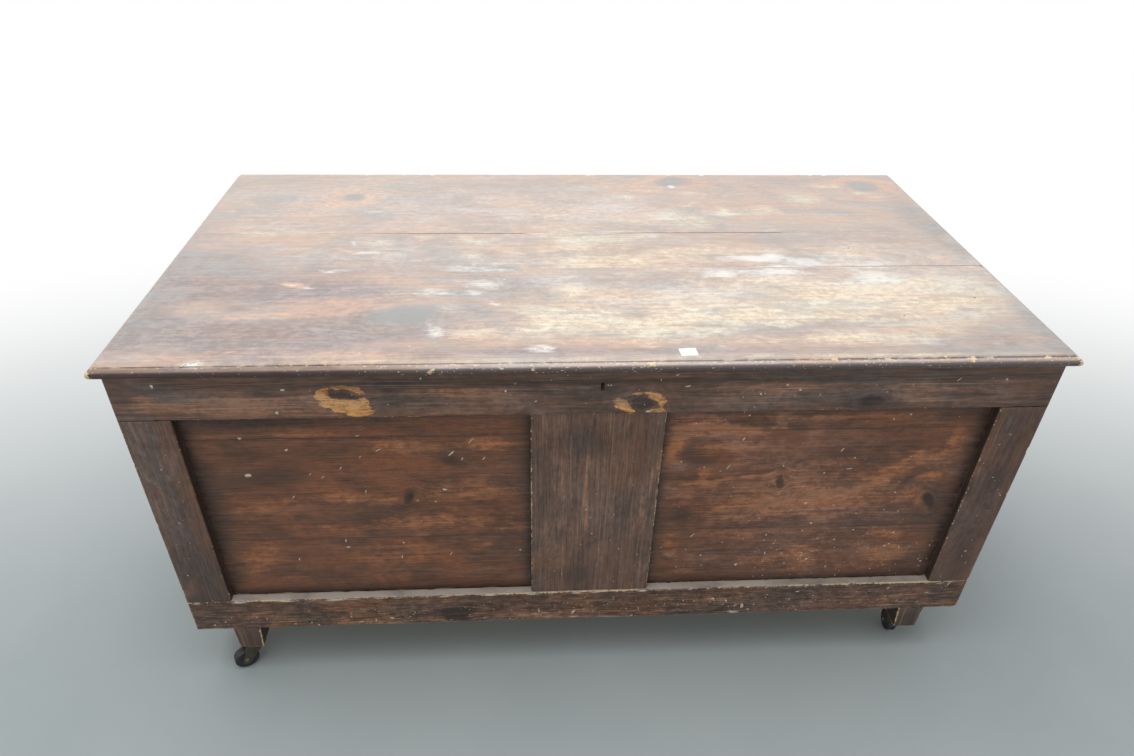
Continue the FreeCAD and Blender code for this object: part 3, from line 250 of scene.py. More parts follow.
frontPlan = dict(
    knots=[(-316, 542, 21, 6.5, -8), (57, 525, 16, 12, -12), (-256, 354, 6, 13, -30), (266, 369, 6, 12, 8),
        (494, 330, 7, 17, 28), (-205, 121, 24, 13), (357, 522, 17, 8)],
    ochre=[(-343, 548, 9, 7, 1.3, 20), (-318, 555, 20, 3.5, 1.2, -6), (-298, 549, 11, 3.5, 1.2, -22),
        (-318, 528, 29, 9, 1.6, -8), (-302, 518, 17, 7, 1.5), (-294, 533, 10, 7, 1.3, 20),
        (32, 519, 15, 6, 1.7, -38), (74, 534, 12, 5, 1.0, -20), (82, 524, 5, 8, .8),
        (77, 512, 10, 2.5, 1.5, 4), (50, 539, 12, 3, .6, 10)],
    # Of the slate marks, the long strip at z 559 along the top of the top rail and the band at (-440, 489) below
    # the rail are painted shade under the lid's overhang.
    slate=[(0, 130, 150, 20, .45), (380, 136, 120, 16, .3), (-560, 240, 30, 80, .6), (565, 220, 30, 80, .5),
        (0, 559, 900, 7, .85), (-526, 70, 50, 40, .7), (526, 70, 50, 40, .9), (-260, 543, 26, 26, 1.0),
        (6, 545, 26, 15, .9), (357, 522, 40, 12, .9), (300, 535, 60, 20, .5), (-205, 121, 42, 20, 1.0),
        (-440, 398, 80, 24, .8, 6), (-193, 421, 24, 14, .9, -30), (-520, 330, 20, 110, .5),
        (-230, 338, 130, 8, .5, 4), (452, 369, 9, 20, 1.0, -40), (500, 320, 28, 50, .75),
        (132, 311, 26, 20, .8), (245, 282, 120, 9, .75), (152, 412, 24, 12, .7), (350, 420, 46, 14, .6),
        (370, 363, 34, 12, .6), (545, 130, 30, 20, .5), (-20, 200, 40, 24, .7), (20, 470, 60, 24, .4),
        (-588, 540, 12, 14, .3), (520, 490, 34, 30, .5), (-440, 489, 110, 15, .8), (-90, 540, 34, 22, .4),
        (500, 190, 40, 30, .5), (200, 235, 30, 14, .4), (-560, 160, 30, 50, .4),
        (-256, 362, 12, 16, .8, -30)],
    plum=[(-572, 330, 34, 200, .5), (570, 330, 34, 200, .95), (-560, 130, 60, 40, .5),
        (-330, 464, 250, 1.6, 1.6), (-300, 277.5, 260, 1.5, .9), (330, 464, 240, 1.3, .8),
        (-300, 310, 120, 14, .6, 4), (-400, 440, 110, 16, .5, 4), (330, 250, 60, 22, .7),
        (300, 400, 120, 20, .5), (470, 440, 60, 26, .4), (-160, 300, 60, 16, .4), (400, 280, 60, 20, .5)],
    warm=[(300, 340, 190, 90, .75, 3), (330, 215, 160, 40, .35), (-430, 528, 110, 16, .9),
        (-540, 530, 50, 9, .9), (-190, 545, 150, 12, .6), (230, 542, 120, 10, .7), (-200, 520, 90, 12, .5),
        (470, 540, 100, 14, .35), (-395, 475, 60, 9, 1.1, -3), (-260, 449, 52, 13, 1.0),
        (-140, 447, 40, 11, 1.9), (-333, 357, 72, 17, .9), (-177, 365, 76, 22, .8),
        (-226, 307, 118, 16, .9), (-448, 340, 70, 17, .55), (-482, 240, 40, 34, .7),
        (-270, 246, 96, 30, .55), (109, 436, 14, 32, 2.8, -30), (168, 468, 56, 9, 2.8, -5),
        (180, 488, 100, 7, .8), (360, 486, 100, 6, .8), (168, 436, 40, 9, 1.0), (154, 386, 10, 14, 1.2),
        (204, 379, 58, 2.5, 1.4, 8), (300, 330, 130, 26, 1.0, 3), (415, 372, 60, 17, 1.5, 36),
        (486, 375, 20, 9, 1.8), (484, 321, 30, 8, 1.3, -42), (327, 202, 22, 20, 1.2),
        (458, 208, 32, 20, 1.2), (270, 208, 20, 8, 1.0), (145, 190, 26, 7, 1.0), (448, 258, 26, 15, 1.0),
        (500, 440, 14, 26, .9), (120, 260, 12, 30, .7), (-330, 112, 180, 12, .8), (160, 138, 70, 10, .8),
        (-10, 340, 3.5, 40, 2.2, 2), (-10, 420, 2.5, 36, 1.2), (-50, 380, 14, 60, .4),
        (210, 546, 70, 9, .8), (-160, 545, 60, 9, .9), (400, 525, 50, 8, .7), (-560, 541, 14, 10, 1.0),
        (-440, 535, 90, 20, .5), (470, 130, 60, 16, .4), (-30, 118, 60, 8, .6)],
    # The haze marks are partly a whitish bloom on the varnish and partly painted sheen on the top rail and
    # panels.
    hazeAndSheen=[(-520, 543, 44, 10, .9), (-580, 440, 30, 90, .7), (330, 300, 220, 170, .5),
        (300, 535, 300, 30, .55), (-300, 535, 300, 30, .4), (-20, 330, 90, 190, .4),
        (-575, 330, 40, 200, .3), (560, 300, 40, 200, .2), (150, 470, 60, 40, .4)],
    chalk=[(-20, 108, 12, 3, .7), (-466, 402, 5, 3, 1.5), (-205, 369, 5, 3, 1.0), (4, 102, 75, 2, 1.1),
        (-572, 103, 26, 2.2, 1.0), (232, 104, 7, 4, 1.1)])
sin = math.sin
for x in range(-600, 600, 23):    # dust along the edge of the bottom rail
    frontPlan["chalk"] += [(x + 9 * sin(5 * x), 162.5, 7 + 5 * sin(3 * x), 1.5, .9 + .6 * sin(7 * x))]
for first, last, level in ((-412, -286, 193), (150, 290, 200), (296, 488, 204)):
    for x in range(first, last, 15):    # slanting strokes of dark stain
        frontPlan["slate"] += [(x, level + 5 * sin(x), 19 + 6 * sin(2.7 * x), 4.2, .34, -62)]


def ovalReach(u, v, oval, tilt=0):
    # How far a point lies from a tilted oval's middle, as a share of the oval's half sizes.
    across, up, halfLength, halfWidth = oval
    turn = math.radians(tilt)
    du, dv = u - across * mm, v - up * mm
    return np.hypot((du * math.cos(turn) + dv * math.sin(turn)) / (halfLength * mm),
                    (dv * math.cos(turn) - du * math.sin(turn)) / (halfWidth * mm))


def patchField(u, v, places, ragged):
    # The sum of soft ovals whose reach is stretched and shrunk by noise, so that their outlines are ragged.
    warp = 1 + (ragged - .5) * 1.3
    return sum((place[4] * np.exp(-1.1 * (ovalReach(u, v, place[:4], *place[5:]) * warp) ** 2.2)
                for place in places), np.zeros(len(u)))


def boardFrame(low, high, along, face):
    # A board's own directions: along its grain, across it and out through its face, and where they start.
    axes = np.eye(3)
    a, c = axes["xyz".index(along)], axes["xyz".index(face[-1])] * (-1 if face[0] == "-" else 1)
    directions = np.stack([a, 1 - a - abs(c), c])
    low, high = np.array(low), np.array(high)
    return np.where(c < 0, high, low), directions, np.abs(directions @ (high - low))


def upAxis(directions):
    # The second axis of the plan: y on a level board and z on a standing one.
    return 1 if abs(directions[2][2]) > .5 else 2


facts = {}    # where each board lies and how its face is hollowed, for what is laid on it
nodeOf = {}    # the CAD node that each board stands for
arrisSide = dict(kind="arris", radius=1.1 * mm, fine=3, drawn=1)
softSide = dict(kind="arris", radius=2.2 * mm, fine=4, drawn=1)
seamSide = dict(kind="seam", radius=.5 * mm, fine=2, drawn=1)
tightSide = dict(kind="seam", radius=.12 * mm, fine=2, drawn=0)
noseSide = dict(kind="nose", radius=6.8 * mm, fine=9, drawn=1, quirkSlope=.35 * mm, quirkArris=.9 * mm)


def cutLike(piece, node):
    # Keeps only what lies inside a merged copy of the CAD node, which gives the board its holes and recesses.
    pattern = bpy.data.objects.new(piece.name + "_pattern", nodes[node].data.copy())
    bpy.context.scene.collection.objects.link(pattern)
    work = bmesh.new()
    work.from_mesh(pattern.data)
    bmesh.ops.remove_doubles(work, verts=work.verts, dist=mergedBelow)
    work.to_mesh(pattern.data)
    work.free()
    cutter = piece.modifiers.new("cut", "BOOLEAN")
    cutter.operation = "INTERSECT"
    cutter.solver = "EXACT"
    cutter.object = pattern
    bpy.context.view_layer.update()
    evaluated = piece.evaluated_get(bpy.context.evaluated_depsgraph_get())
    whole = bpy.data.meshes.new_from_object(evaluated)
    piece.modifiers.clear()
    piece.data = whole
    bpy.data.objects.remove(pattern)
    print("  cut", piece.name, "like", node, len(whole.vertices), "points")


def board(name, node, along, face, sides, wear, seed, shape=None, cut=False):
    # A worn board in place of a CAD node: its slab, the wear pressed in, its cuts, its paint and its wood.
    low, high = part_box(node)
    origin, directions, size = boardFrame(low, high, along, face)
    points, faces = slabSurface(size, sides, wear["step"] * mm)
    if shape:
        points = shape(points, size)
    piece = meshPiece(name, origin + points @ directions, faces)
    pressIn(piece, origin, directions, size, sides, wear, seed)
    if cut:
        cutLike(piece, node)
    paintWood(piece, origin, directions, size, sides, wear, seed)
    facts[name] = (origin, directions, size, wear, seed)
    nodeOf[name] = node
    material, slot = woods[wear["wood"]]
    piece.data.materials.clear()
    piece.data.materials.append(material)
    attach(piece, bodyOf[node])
    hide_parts(node)


def sideDepths(local, size):
    # How far each point lies in from each of the four sides.
    return [local[:, 0], size[0] - local[:, 0], local[:, 1], size[1] - local[:, 1]]


def leastDepth(depths, sides, *kinds):
    # How far each point lies in from the nearest side of these kinds, or a metre where there is none.
    kept = [depth for depth, side in zip(depths, sides) if side["kind"] in kinds]
    return np.minimum.reduce(kept + [np.ones(len(depths[0]))])


def straightened(local, size, wear):
    # A tapered block's places, drawn out again to the full width of its top.
    half = size[1] / 2
    slim = half - wear["taper"] * mm * (1 - local[:, 0] / size[0])
    return np.stack([local[:, 0], half + (local[:, 1] - half) * half / slim, local[:, 2]], -1)


def arrisReach(local, size, sides, wear):
    # The distance from each point to the nearest edge that stands free. A joined board's back isn't free.
    local = straightened(local, size, wear)
    depths = sideDepths(local, size)
    toFace, toBack = size[2] - local[:, 2], local[:, 2] + wear["joined"]
    nearest = [np.ones(len(local))]
    for depth, side in zip(depths, sides):
        if side["kind"] == "nose":
            nearest.append(np.hypot(depth - side["radius"] - side["quirkSlope"], toFace))
        elif side["kind"] == "arris":
            nearest += [np.hypot(depth, toFace), np.hypot(depth, toBack)]
    nearest += [np.hypot(depths[i], depths[j]) for i in (0, 1) for j in (2, 3)
                if "seam" not in (sides[i]["kind"], sides[j]["kind"])]
    return np.minimum.reduce(nearest)


def waveDepth(local, wear, seed):
    # How deep the slow hollows of a planed and rubbed face lie under the flat of the CAD board.
    return (wear["flat"] + wear["wave"] * roughNoise(local, [.16, .045, .045], seed)) * mm


def pressIn(piece, origin, directions, size, sides, wear, seed):
    # Depth pressed in from every side: the slow hollows, rounding near the edges, and chips there. Each
    # direction is drawn in by the depth times 1 - u / size from its low side and u / size from its high side.
    # The sides of a tight seam aren't drawn in.
    local = (readRows(piece.data.vertices, "co") - origin) @ directions.T
    reach = arrisReach(local, size, sides, wear)
    edge = np.clip(1 - reach / (wear["width"] * mm), 0, 1) ** 2
    rubbed = roughNoise(local, .05, seed + 11) ** 2 * wear["rub"] * mm
    lumps = roughNoise(local, wear["chipSize"] * mm, seed + 23, 2)
    chips = easeStep(lumps, wear["chipFrom"], wear["chipFrom"] + .1)
    chips *= np.clip(1 - reach / (wear["chipReach"] * mm), 0, 1)
    depth = waveDepth(local, wear, seed) + edge * rubbed + chips * wear["chip"] * mm
    share = local / size
    drawnLow, drawnHigh = ([sides[i]["drawn"], sides[i + 2]["drawn"], 1] for i in (0, 1))
    local += depth[:, None] * ((1 - share) * drawnLow - share * drawnHigh)
    piece.data.vertices.foreach_set("co", (origin + local @ directions).ravel())
    piece.data.update()


def onNose(depth):
    # 1 on a moulded edge's nose, fading out behind it.
    return easeStep(-depth, -noseSide["radius"] * 1.3, -noseSide["radius"] * .8)


def wornMoulding(local, size, depths, sides, wear):
    # A moulded edge is chipped along its nose, by an amount that changes along the board, and rubbed bare
    # where two moulded sides meet in a corner.
    noses = [depth if side["kind"] == "nose" else np.ones(len(local)) for depth, side in zip(depths, sides)]
    x = (local[:, 0] - size[0] / 2) / mm
    chipped = np.interp(x, *wear["noseWorn"]) * onNose(np.minimum.reduce(noses))
    corner = np.minimum(np.hypot(noses[0], noses[2]), np.hypot(noses[1], noses[2]))
    return chipped + np.exp(-(corner / (wear["cornerWorn"] * mm)) ** 2)


def panelEdges():
    # The frame's inner edges: the x of its four upright ones, and the z of the lower and the upper one.
    ends = (("left_stile", 1), ("muntin", 0), ("muntin", 1), ("right_stile", 0))
    return [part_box(node)[end].x for node, end in ends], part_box("bottom_rail")[1].z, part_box("top_rail")[0].z


def dirtAndShade(points, wear):
    # Dark dirt and painted shade on the wall boards along the inner edges of the frame, where its members shade
    # them, fading away from them.
    if not wear["dirtAndShade"]:
        return 0
    uprights, low, high = panelEdges()
    across = [np.abs(points[:, 0] - x) for x in uprights]
    away = np.minimum.reduce(across + [np.abs(points[:, 2] - z) for z in (low, high)])
    return wear["dirtAndShade"] * np.exp(-away / (wear["dirtAndShadeReach"] * mm))


# Where the pith lies across a board, as shares of its width, and how far it wanders, across as a share and
# in depth in millimetres; then how far the rings waver, and by how much a knot lifts them and pushes fibres
# aside. Stretches are in metres, and a knot's reaches are in its own half sizes.
grainShape = dict(
    pith=(.3, .7), wander=.7, wanderDeep=60, wanderOver=.35, waver=2.2, waverOver=(.25, .05, .05),
    lift=7, liftReach=1.9, push=.82, pushReach=2.1)


def paintGrain(piece, points, local, origin, directions, size, wear, seed):
    # Growth rings are cylinders about a wandering pith behind the face. A knot lifts the ring count like a
    # hill and pushes the fibres aside, so that both run round it.
    shape = grainShape
    up = upAxis(directions)
    rng = np.random.default_rng(seed)
    wander = roughNoise(local * [1, 0, 0], shape["wanderOver"], seed + 3) - .5
    pithAcross = size[1] * (rng.uniform(*shape["pith"]) + wander * shape["wander"])
    pithDepth = (wear["pith"] + shape["wanderDeep"] * wander) * mm
    ring = np.hypot(local[:, 1] - pithAcross, local[:, 2] + pithDepth) / (wear["ringGap"] * mm)
    ring += shape["waver"] * roughNoise(local, shape["waverOver"], seed + 5)
    fibre = local[:, 1].copy()
    knotReach = np.full(len(points), 4.0)
    for x, z, *rest in wear["plan"].get("knots", []):
        centre = np.array([x, 0, 0]) * mm
        centre[up] = z * mm
        onBoard = directions[:2] @ (centre - origin)
        if (onBoard < 0).any() or (onBoard > size[:2]).any():
            continue
        reach = ovalReach(points[:, 0], points[:, up], (x, z, *rest[:2]), *rest[2:])
        knotReach = np.minimum(knotReach, reach)
        ring += shape["lift"] * np.exp(-(reach / shape["liftReach"]) ** 2)
        pushed = shape["push"] * np.exp(-(reach / shape["pushReach"]) ** 2)
        fibre -= (points - centre) @ directions[1] * pushed
    paint(piece, "grain", np.stack([local[:, 0], fibre, local[:, 2]], -1) + rng.uniform(0, 3, 3))
    paint(piece, "ring", ring)
    paint(piece, "knot", knotReach)


def paintWood(piece, origin, directions, size, sides, wear, seed):
    # What the materials read at each point: the grain, the ovals of the plan, painted shade on faces turned away
    # from the board's face and in the lid's quirk and on its nose, rubbed edges, the bare wood of the inside,
    # and dust.
    points = readRows(piece.data.vertices, "co")
    normals = readRows(piece.data.vertex_normals, "vector")
    local = (points - origin) @ directions.T
    paintGrain(piece, points, local, origin, directions, size, wear, seed)
    across, upward = points[:, 0], points[:, upAxis(directions)]
    ragged = roughNoise(local, [.045, .018, .018], seed + 31)
    for kind in ("ochre", "slate", "plum", "warm", "hazeAndSheen", "chalk", "dull"):
        marks = patchField(across, upward, wear["plan"].get(kind, []), ragged)
        # The slate mark also takes the dirt and painted shade along the frame's inner edges.
        paint(piece, kind, marks + dirtAndShade(points, wear) if kind == "slate" else marks)
    depths = sideDepths(local, size)
    toSeam, toNose = leastDepth(depths, sides, "seam"), leastDepth(depths, sides, "nose")
    moulded = "nose" in [side["kind"] for side in sides]
    clear = np.minimum(easeStep(toSeam, 0, 2 * mm) + (local[:, 2] < size[2] - 1.5 * mm), 1)
    # Painted shade: points whose normal turns away from the board's face take the dark edge tone.
    aside = clear * (1 - easeStep(normals @ directions[2], wear["edgeShadeFrom"], wear["edgeShadeFrom"] + .55))
    if moulded:
        # Painted shade in the quirk behind the nose, growing towards the right end.
        inQuirk = (toNose - noseSide["radius"] - noseSide["quirkSlope"]) / (1.1 * mm)
        aside = np.maximum(aside, np.interp(across / mm, *wear["quirkShade"]) * np.exp(-inQuirk ** 2))
    # Painted shade on the front nose, strongest at the left end and gone beyond the middle.
    if sides[2]["kind"] == "nose":
        aside = np.maximum(aside, np.interp(across / mm, *wear["frontNoseShade"]) * onNose(local[:, 1]))
    paint(piece, "edge", aside * wear["edgeShade"])
    toArris = arrisReach(local, size, sides, wear)
    worn = np.clip(1 - toArris / (wear["paintWidth"] * mm), 0, 1) * (.55 + roughNoise(local, .06, seed + 41))
    worn = worn * wear["bareEdges"] + patchField(across, upward, wear["plan"].get("chips", []), ragged)
    if moulded:
        worn += wornMoulding(local, size, depths, sides, wear)
    paint(piece, "worn", worn)
    bare = easeStep(size[2] * wear["innerShare"] - local[:, 2], -.0015, .0015)
    if wear["overhang"]:
        inward = leastDepth(depths, sides, "nose", "arris") / mm
        bare *= easeStep(inward, wear["overhang"] - 1, wear["overhang"] + 1)
    if wear["bareFaces"]:
        bare = np.maximum(bare, easeStep(np.abs(normals @ directions[2]), .5, .8))
    if wear["bareRim"]:
        bare = np.maximum(bare, easeStep(normals[:, 2], .6, .8) * (points[:, 2] > wear["bareRim"] * mm))
    paint(piece, "inner", bare)
    paint(piece, "dust", easeStep(normals[:, 2], .75, .97) * (points[:, 2] < wear["dustBelow"] * mm) * clear)
    print("  board", piece.name, len(points), "points")


# What each kind of board is like: its wood and plan, mesh step, hollows, rounding, chips, rings and paint.
# Lengths are in millimetres. The lid's last three pair places along it with amounts there.
frontWear = dict(
    wood="frame", plan=frontPlan, step=3, flat=.02, wave=.25, width=4, rub=.5, chip=.7, chipSize=8,
    chipFrom=.64, chipReach=4, pith=50, ringGap=3.2, paintWidth=3.5, bareEdges=1, edgeShade=.85, edgeShadeFrom=.2,
    innerShare=.1, taper=0, joined=0, overhang=0, dirtAndShade=0, dirtAndShadeReach=11, bareFaces=0, bareRim=0,
    dustBelow=300)
lidWear = dict(
    frontWear, wood="lid", plan=lidPlan, flat=.12, wave=.35, width=5, chip=.9, chipSize=9, chipFrom=.62,
    chipReach=7, pith=60, ringGap=3.6, paintWidth=4.5, bareEdges=.62, edgeShade=.94, edgeShadeFrom=.42,
    innerShare=.12, overhang=11, dustBelow=0, cornerWorn=6, quirkShade=((-150, 380), (.15, .75)),
    frontNoseShade=((-560, -200, 60), (.5, .32, 0)), noseWorn=((-600, -330, -180, 380), (.36, .4, .56, .5)))
panelWear = dict(frontWear, wood="panel", bareEdges=0, edgeShade=0, joined=1, overhang=12, dirtAndShade=1.4,
                 bareRim=560)
wallWear = dict(frontWear, wood="wall", plan={}, step=4, wave=.4, bareEdges=.8, edgeShade=0, joined=1,
                overhang=12, bareRim=560, dustBelow=0)
floorWear = dict(frontWear, wood="wall", plan={}, step=6, wave=.5, edgeShade=.6, innerShare=0, bareFaces=1,
                 dustBelow=0)
battenWear = dict(frontWear, wood="inner", plan={})
blockWear = dict(frontWear, step=2, bareEdges=1.7, taper=3)
lowRailWear = dict(frontWear, wood="lowRail", bareEdges=1.6)
stileWear = dict(frontWear, wood="stile")
middleWear = dict(frontWear, bareEdges=1.25)
levels = ("bottom", "middle", "top")
bottomPlaces = ("front", "middle_front", "middle_back", "back")
seamPlan = dict(
    frontFrom=340, frontRise=60, frontWide=1.1,
    backPlaces=(-570, -480, -360, -330, -282, -270, -95, -84, 50, 66, 320, 332),
    backWide=(.6, .8, 1.0, 1.4, 1.3, 2.0, 2.0, 0, 0, 1.8, 1.8, 0))


def shrunk(points, size):
    # The lid's middle board draws back from its neighbours by each open seam's width at that place.
    x = (points[:, 0] - size[0] / 2) / mm
    frontGap = np.clip((x - seamPlan["frontFrom"]) / seamPlan["frontRise"], 0, 1) * seamPlan["frontWide"] * mm
    backGap = np.interp(x, seamPlan["backPlaces"], seamPlan["backWide"]) * mm
    share = points[:, 1] / size[1]
    return points + np.stack([0 * x, frontGap * (1 - share) - backGap * share, 0 * x], -1)


def knockedCorner(points, size, radius=9 * mm):
    # The corner at the far end and the low edge is knocked round: its square is mapped onto a quarter disc,
    # where each point keeps its greater distance from the disc's middle.
    away = np.stack([radius - (size[0] - points[:, 0]), radius - points[:, 1]], -1)
    inCorner = (away > 0).all(1)
    longest, length = away.max(1), np.maximum(np.hypot(away[:, 0], away[:, 1]), 1e-9)
    moved = np.where(inCorner[:, None], away * (longest / length)[:, None], away)
    return np.stack([size[0] - radius + moved[:, 0], radius - moved[:, 1], points[:, 2]], -1)


def tapered(points, size):
    # A block narrows evenly on both sides, from full width at its top to less by the taper at its foot.
    share = (points[:, 1] - size[1] / 2) / (size[1] / 2)
    narrower = blockWear["taper"] * mm * (1 - points[:, 0] / size[0])
    return points - np.stack([0 * share, share * narrower, 0 * share], -1)


def lidBoards():
    # Moulded on the front and both ends. The two seams are open where the middle board has shrunk.
    noses = [noseSide, noseSide]
    board("lidFrontBoard", "lid_front_board", "x", "z", noses + [noseSide, tightSide], lidWear, 11, cut=True)
    board("lidMiddleBoard", "lid_middle_board", "x", "z", noses + [tightSide, tightSide], lidWear, 12, shrunk)
    board("lidBackBoard", "lid_back_board", "x", "z", noses + [tightSide, arrisSide], lidWear, 13, cut=True)


def frontBoards():
    # The wall boards that show as two panels, and the planted frame in front of them.
    flush, butted = [arrisSide, arrisSide, seamSide, seamSide], [seamSide, seamSide]
    for seed, level in enumerate(levels, 21):
        board("frontBoard" + level.capitalize(), "front_board_" + level, "x", "-y", flush, panelWear, seed,
              cut=level == "top")
    board("topRail", "top_rail", "x", "-y", [softSide] * 4, frontWear, 25, cut=True)
    board("bottomRail", "bottom_rail", "x", "-y", [softSide] * 4, lowRailWear, 26, knockedCorner)
    for seed, side in enumerate(("left", "right"), 27):
        board(side + "Stile", side + "_stile", "z", "-y", butted + [softSide] * 2, stileWear, seed)
    board("middlePiece", "muntin", "z", "-y", butted + [arrisSide] * 2, middleWear, 29)


def wallBoards():
    # The ends and the back, stained outside and bare inside, and the bare bottom.
    flush = [arrisSide, arrisSide, seamSide, seamSide]
    for first, side, face in ((31, "left", "-x"), (33, "right", "x")):
        for seed, level in enumerate(("lower", "upper"), first):
            name, node = side + "End" + level.capitalize(), f"{side}_end_board_{level}"
            board(name, node, "y", face, [seamSide] * 4, wallWear, seed)
    for seed, level in enumerate(levels, 36):
        board("backBoard" + level.capitalize(), "back_board_" + level, "x", "y", flush, wallWear, seed,
              cut=level == "top")
    for number, place in enumerate(bottomPlaces, 1):
        board(f"bottomBoard{number}", "bottom_board_" + place, "x", "-z", flush, floorWear, 40 + number)


def smallWood():
    # Battens under the lid and blocks under the corners, cut to their CAD outlines with their bores.
    for seed, side in enumerate(("left", "right"), 51):
        board(side + "Batten", f"lid_{side}_batten", "y", "-z", [arrisSide] * 4, battenWear, seed, cut=True)
    for seed, corner in enumerate(("front_left", "front_right", "back_left", "back_right"), 55):
        name, face = "footBlock" + corner.title().replace("_", ""), "-y" if "front" in corner else "y"
        sides = [softSide, tightSide, softSide, softSide]
        board(name, "foot_block_" + corner, "z", face, sides, blockWear, seed, tapered, cut=True)


def fromScreen(red, green, blue):
    # A colour given as it looks on a screen, from 0 to 255, turned into the linear colour that shaders take.
    parts = np.array([red, green, blue]) / 255
    linear = np.where(parts <= .04045, parts / 12.92, ((parts + .055) / 1.055) ** 2.4)
    return (*linear, 1.0)


def wire(tree, kind, inputs=(), **settings):
    # Adds a shader node. Each input pairs a socket with a value or with another node's output.
    node = tree.nodes.new(kind)
    for name, value in settings.items():
        setattr(node, name, value)
    for socket, value in inputs:
        if isinstance(value, bpy.types.NodeSocket):
            tree.links.new(value, node.inputs[socket])
        else:
            node.inputs[socket].default_value = value
    return node


def sumOf(tree, operation, *values):
    # Joins the values one after another by one operation.
    total = wire(tree, "ShaderNodeMath", list(enumerate(values[:2])), operation=operation).outputs[0]
    return sumOf(tree, operation, total, *values[2:]) if len(values) > 2 else total


def vectorOf(tree, operation, *values):
    return wire(tree, "ShaderNodeVectorMath", list(enumerate(values)), operation=operation).outputs


def mixOf(tree, share, under, over, blend="MIX"):
    inputs = [(0, share), (6, under), (7, over)]
    return wire(tree, "ShaderNodeMix", inputs, data_type="RGBA", blend_type=blend).outputs[2]


def easeOf(tree, value, low, high, toLow=0.0, toHigh=1.0):
    ranges = [(0, value), (1, low), (2, high), (3, toLow), (4, toHigh)]
    return wire(tree, "ShaderNodeMapRange", ranges, interpolation_type="SMOOTHSTEP").outputs[0]


def noiseOf(tree, place, stretch, detail, rough, twist=0.0):
    # Noise whose cells are 1 / stretch metres long in each direction.
    values = (vectorOf(tree, "MULTIPLY", place, stretch)[0], 1.0, detail, rough, twist)
    sockets = ("Vector", "Scale", "Detail", "Roughness", "Distortion")
    return wire(tree, "ShaderNodeTexNoise", zip(sockets, values)).outputs[0]


def keptOf(tree, name, output="Fac"):
    return wire(tree, "ShaderNodeAttribute", attribute_name=name).outputs[output]


def toolsOf(tree):
    # The helpers above with their tree filled in: noise, ease, mix, add, times, kept, take away and most.
    def filled(helper, *first):
        return lambda *rest: helper(tree, *first, *rest)
    add, times, take, most = (filled(sumOf, way) for way in ("ADD", "MULTIPLY", "SUBTRACT", "MAXIMUM"))
    return filled(noiseOf), filled(easeOf), filled(mixOf), add, times, filled(keptOf), take, most


def newMaterial(name):
    material = bpy.data.materials.new(name)
    material.use_nodes = True
    return material, material.node_tree, material.node_tree.nodes["Principled BSDF"]


def linkSurface(tree, shader, colour, rough, height, relief, deep):
    # What varies over a surface: its colour, its roughness and a relief of the given strength and depth.
    bump = wire(tree, "ShaderNodeBump", [("Strength", relief), ("Distance", deep), ("Height", height)])
    for value, socket in ((colour, "Base Color"), (rough, "Roughness"), (bump.outputs[0], "Normal")):
        tree.links.new(value, shader.inputs[socket])


# The noise that every wood's colours are made of. Each field has its cells in a metre along, across and
# into the grain, then its detail, roughness and twist. Only the streaks' length is the look's own.
woodFields = dict(
    fine=((30, 620, 620), 4, .65), broad=((2.2, 34, 34), 4, .62, .5), cloud=((11, 17, 17), 5, .62, .6),
    mottle=((80, 120, 120), 5, .72, .4), drift=((6, 30, 30), 4, .6, .4), lines=((6, 400, 400), 3, .6),
    chips=((70, 170, 170), 4, .66), dots=((230, 400, 400), 2, .5))
streakAcross = 230


